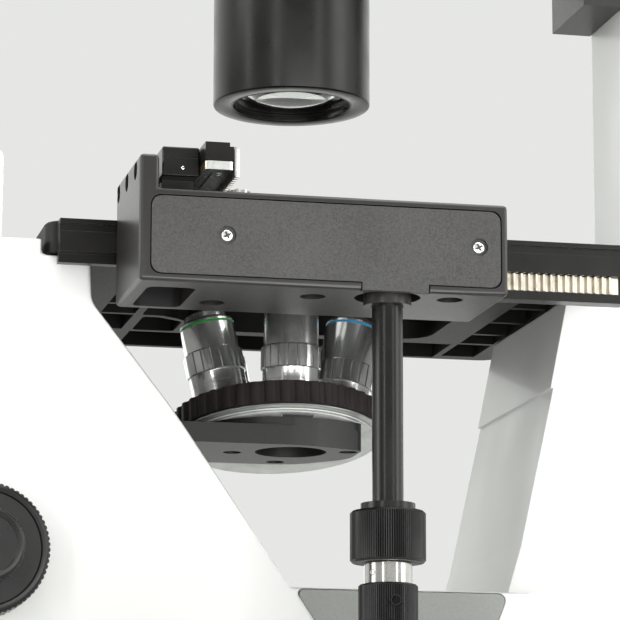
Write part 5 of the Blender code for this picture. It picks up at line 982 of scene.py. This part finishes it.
def upper_knob(place):
    """Adds the upper knob, a knurled ring round the outer shaft."""
    low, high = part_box("upper_knob")
    top, foot = high.z - SKIN, low.z + SKIN
    bore, out = 6.35 * MM, 14.65 * MM
    profile = [
        (bore, top), (out - 0.9 * MM, top), (out - 0.1 * MM, top - 0.8 * MM),
        (out, top - 0.9 * MM), (out, foot + 0.9 * MM), (out - 0.1 * MM, foot + 0.8 * MM),
        (out - 0.9 * MM, foot), (bore, foot),
    ]
    flutes = knurl(100, 0.50 * MM, foot + 0.85 * MM, top - 0.85 * MM)
    spun(
        "upper_knob_knurled", profile, place, "y_control", PLASTIC, "upper_knob", steps=600,
        closed=True, ripple=flutes, smooth=25,
    )


def lower_knob(place, out):
    """Adds the lower knob, whose bore takes the inner shaft down to a floor."""
    low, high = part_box("lower_knob")
    top, foot = high.z - SKIN, low.z + SKIN
    bore, floor = 3.8 * MM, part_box("inner_shaft")[0].z - SKIN
    profile = [
        (0.0, floor), (bore, floor), (bore, top), (out - 0.7 * MM, top), (out, top - 0.7 * MM),
        (out, foot + 0.9 * MM), (out - 0.9 * MM, foot), (0.0, foot),
    ]
    flutes = knurl(80, 0.45 * MM, foot + 0.8 * MM, top - 0.65 * MM)
    spun(
        "lower_knob_knurled", profile, place, "x_control", PLASTIC, "lower_knob", steps=480,
        ripple=flutes, smooth=25,
    )


def set_screw_hole(middle, out):
    """Adds the sunk mouth of the set screw's hole, let into the lower knob's side."""
    towards = Vector((1, 0.02, 0)).normalized()
    spot = Vector((middle.x, middle.y, world_spot(0, 0, -160.6).z)) + towards * (out - 0.2 * MM)
    profile = in_mm([
        (0, -2.0), (2.1, -2.0), (2.1, 0.25), (1.75, 0.25), (1.6, -0.6), (0.9, -0.9), (0, -1.6),
    ])
    spun("set_screw_hole", profile, pointing(towards, spot), "x_control", SATIN, steps=48)


def drive_knobs(lower_radius=11.5 * MM):
    """Adds both knobs on the axis of the coaxial drive."""
    low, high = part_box("upper_knob")
    middle = (low + high) / 2
    place = Matrix.Translation((middle.x, middle.y, 0))
    upper_knob(place)
    lower_knob(place, lower_radius)
    set_screw_hole(middle, lower_radius)
    print("drive knobs on the axis x, y:", round(middle.x, 4), round(middle.y, 4))


drive_knobs()

# %% [markdown]
# ## Ribbed knobs
# Every other knob is a turned core with the same kind of ribs as the nosepiece's grip, only finer.
# The knobs differ in size, number of ribs and side, so one function makes them all.

# %% Turned cores with ribs
RIB_SHARE, RIB_MARGIN = 0.85, 3.0 * MM


def ribbed_knob(node, side, longest, count, rise, bore=0.0):
    """Adds a knob whose axis runs along X: turned core, dished end face and a band of ribs."""
    low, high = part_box(node)
    middle = (low + high) / 2
    core = (high.z - low.z) / 2 - rise
    outer = high.x if side > 0 else low.x
    length = min(high.x - low.x, longest)
    place = pointing((side, 0, 0), (outer - side * length, middle.y, middle.z))
    profile = [
        (bore, SKIN), (core - 0.6 * MM, SKIN), (core, 0.7 * MM), (core, length - 1.2 * MM),
        (core - 0.4 * MM, length - 0.5 * MM), (core - 1.2 * MM, length - SKIN),
        (core - 2.6 * MM, length - SKIN), (core - 3.2 * MM, length - 0.6 * MM),
        (bore, length - 0.8 * MM),
    ]
    spun(node + "_turned", profile, place, BODY_OF[node], PLASTIC, node, steps=160, closed=bore > 0)
    ribs(
        node + "_ribs", node, place @ Matrix.Translation((0, 0, length / 2)), PLASTIC, Count=count,
        Radius=core - SKIN, Width=2 * math.pi * core / count * RIB_SHARE, Rise=rise,
        Height=length - RIB_MARGIN,
    )
    print(node, "ribs:", count)


for word, side in (("left", -1), ("right", 1)):
    ribbed_knob("coarse_knob_" + word, side, 23 * MM, count=72, rise=0.7 * MM, bore=5.3 * MM)
    ribbed_knob("fine_knob_" + word, side, 14 * MM, count=48, rise=0.5 * MM)
ribbed_knob("brightness_knob", 1, 11.7 * MM, count=40, rise=0.4 * MM)
ribbed_knob("carrier_clamp", 1, 13.7 * MM, count=36, rise=0.5 * MM)

# %% [markdown]
# ## Smooth copies
# The frame's nodes are faceted solids. Most nodes that no finer piece stands for get a copy with the
# same shape, welded and shaded smooth across its small facets. That keeps every size of the solid and
# still takes the facets out of the light. Flat-sided pieces and toothed ones stay as they are.

# %% Weld and shade
WELD = 0.002 * MM
FLAT = 0.002  # radians between faces that count as one
CRISP_NODES = (
    "y_rack", "x_rack", "y_idler", "x_middle_gear", "x_last_gear", "bar_plate", "lamp_column",
    "base_plate", "x_bar", "power_switch",
)


def smooth_copy(node):
    """Adds a copy of a node whose round faces are shaded round."""
    mesh = NODES[node].data.copy()
    mesh.name = node + "_surface"
    if "custom_normal" in mesh.attributes:
        mesh.attributes.remove(mesh.attributes["custom_normal"])
    work = bmesh.new()
    work.from_mesh(mesh)
    bmesh.ops.remove_doubles(work, verts=work.verts, dist=WELD)
    bmesh.ops.dissolve_limit(work, angle_limit=FLAT, verts=work.verts, edges=work.edges)
    work.to_mesh(mesh)
    work.free()
    piece = add_piece(mesh.name, mesh, BODY_OF[node], FINISH_OF[node], node, smooth=44)
    normals = piece.modifiers.new("weighted", "WEIGHTED_NORMAL")
    normals.keep_sharp = True


copied = [name for name in NODES if name not in CRISP_NODES and name not in REPLACED]
for node_name in copied:
    smooth_copy(node_name)
print("smooth copies:", len(copied))

# %% [markdown]
# ## Studio
# The photograph has a plain ground, soft light from all sides and a low camera. A pale table top,
# large soft area lights and a plain backdrop give the same. The backdrop that the camera sees is a
# flat tone, while the pieces mirror a world that is brighter behind the object, as in a light tent.

# %% Table top
TABLE_FAR, TABLE_NEAR, TABLE_HALF = -1.6, 0.45, 1.4


def studio_floor():
    """A pale table top that ends short of the camera's line of sight."""
    corners = [
        (TABLE_FAR, -TABLE_HALF, 0), (TABLE_NEAR, -TABLE_HALF, 0), (TABLE_NEAR, TABLE_HALF, 0),
        (TABLE_FAR, TABLE_HALF, 0),
    ]
    mesh = bpy.data.meshes.new("table_top")
    mesh.from_pydata(corners, [], [(0, 1, 2, 3)])
    floor = linked("table_top", mesh)
    surface = Finish("table_paint")
    surface.set(
        Base_Color=surface.mix(surface.noise(300), colour("D8D9D6"), colour("CFD0CD")),
        Roughness=surface.ramp(surface.noise(200), 0.5, 0.6),
    )
    mesh.materials.append(surface.material)


studio_floor()

# %% Soft lights: name, place, aim, size in metres and watts
SOFT_LIGHTS = (
    ("front_box", (0.15, -1.5, 0.45), (0, 0, 0.2), (0.6, 1.2), 9.5),
    ("rear_box", (0.75, 1.35, 0.40), (0, 0, 0.2), (0.6, 1.4), 8),
    ("right_strip", (1.25, 0.70, 0.40), (0, 0, 0.2), (0.20, 1.3), 2.6),
    ("left_strip", (1.15, -0.72, 0.42), (0, 0, 0.2), (0.10, 1.3), 3.4),
    ("low_panel", (1.30, 0.15, -0.22), (0.00, 0, 0.14), (1.2, 0.6), 14),
    ("top_panel", (0.45, 0.1, 1.9), (0.1, 0, 0.0), (1.6, 1.6), 24),
)


def soft_light(name, place, target, size, watts):
    """A large rectangular area light aimed at a point."""
    data = bpy.data.lights.new(name, "AREA")
    data.shape = "RECTANGLE"
    data.size, data.size_y = size
    data.energy = watts
    lamp = linked(name, data)
    lamp.location = place
    aim = Vector(target) - Vector(place)
    lamp.rotation_euler = aim.to_track_quat("-Z", "Y").to_euler()


for row in SOFT_LIGHTS:
    soft_light(*row)
print("lights:", len(SOFT_LIGHTS))

# %% Backdrop
BACKDROP_SEEN, BACKDROP_LIGHT = "E6E7E5", "F4F6F2"
BEHIND = (-0.90, 0.40, 0.10)
DIM_AT, BRIGHT_AT = -0.55, 0.35
SOFT_GLOW, MIRRORED_GLOW = (0.50, 0.78), (0.72, 1.7)


def backdrop():
    """The world: plain for the camera; dim before the object and bright behind it for other rays."""
    world = bpy.data.worlds.new("studio")
    bpy.context.scene.world = world
    world.use_nodes = True
    tree = world.node_tree
    tree.nodes.clear()
    ray = add_node(tree, "ShaderNodeLightPath").outputs
    view = add_node(tree, "ShaderNodeTexCoord").outputs["Generated"]
    spread = add_node(
        tree, "ShaderNodeMapRange", Value=along(tree, view, BEHIND), From_Min=DIM_AT,
        From_Max=BRIGHT_AT,
    ).outputs["Result"]
    soft, mirrored = [
        multiply_add(tree, spread, high - low, low) for low, high in (SOFT_GLOW, MIRRORED_GLOW)
    ]
    strength = mixed(tree, "FLOAT", ray["Is Glossy Ray"], soft, mirrored)
    glow = add_node(
        tree, "ShaderNodeBackground", Color=colour(BACKDROP_LIGHT), Strength=strength
    )
    plain = add_node(tree, "ShaderNodeBackground", Color=colour(BACKDROP_SEEN))
    blend = add_node(tree, "ShaderNodeMixShader")
    sources = (ray["Is Camera Ray"], glow.outputs["Background"], plain.outputs["Background"])
    for source, socket in zip(sources, blend.inputs):
        join(tree, source, socket)
    add_node(tree, "ShaderNodeOutputWorld", Surface=blend.outputs["Shader"])


backdrop()

# %% Camera
CAMERA_PLACE = (1.3066, -0.2383, -0.0677)
PITCH, YAW, ROLL = math.radians(11.03), math.radians(12.57), math.radians(0.08)
SENSOR_WIDTH, FOCAL_LENGTH = 36, 184.04
CLIP_START = 0.05


def photo_camera():
    """The camera where the photograph was taken: low at the right side, looking up."""
    along_table = math.cos(PITCH)
    look = Vector((-math.cos(YAW) * along_table, math.sin(YAW) * along_table, math.sin(PITCH)))
    level = Vector((math.sin(YAW), math.cos(YAW), 0))
    upright = level.cross(look)
    side = level * math.cos(ROLL) + upright * math.sin(ROLL)
    top = upright * math.cos(ROLL) - level * math.sin(ROLL)
    data = bpy.data.cameras.new("photo_camera")
    data.sensor_width = SENSOR_WIDTH
    data.lens = FOCAL_LENGTH
    data.clip_start = CLIP_START
    camera = linked("photo_camera", data)
    turn = Matrix((side, top, -look)).transposed().to_4x4()
    camera.matrix_world = Matrix.Translation(CAMERA_PLACE) @ turn
    bpy.context.scene.camera = camera


photo_camera()
bpy.context.scene.view_settings.view_transform = "Standard"
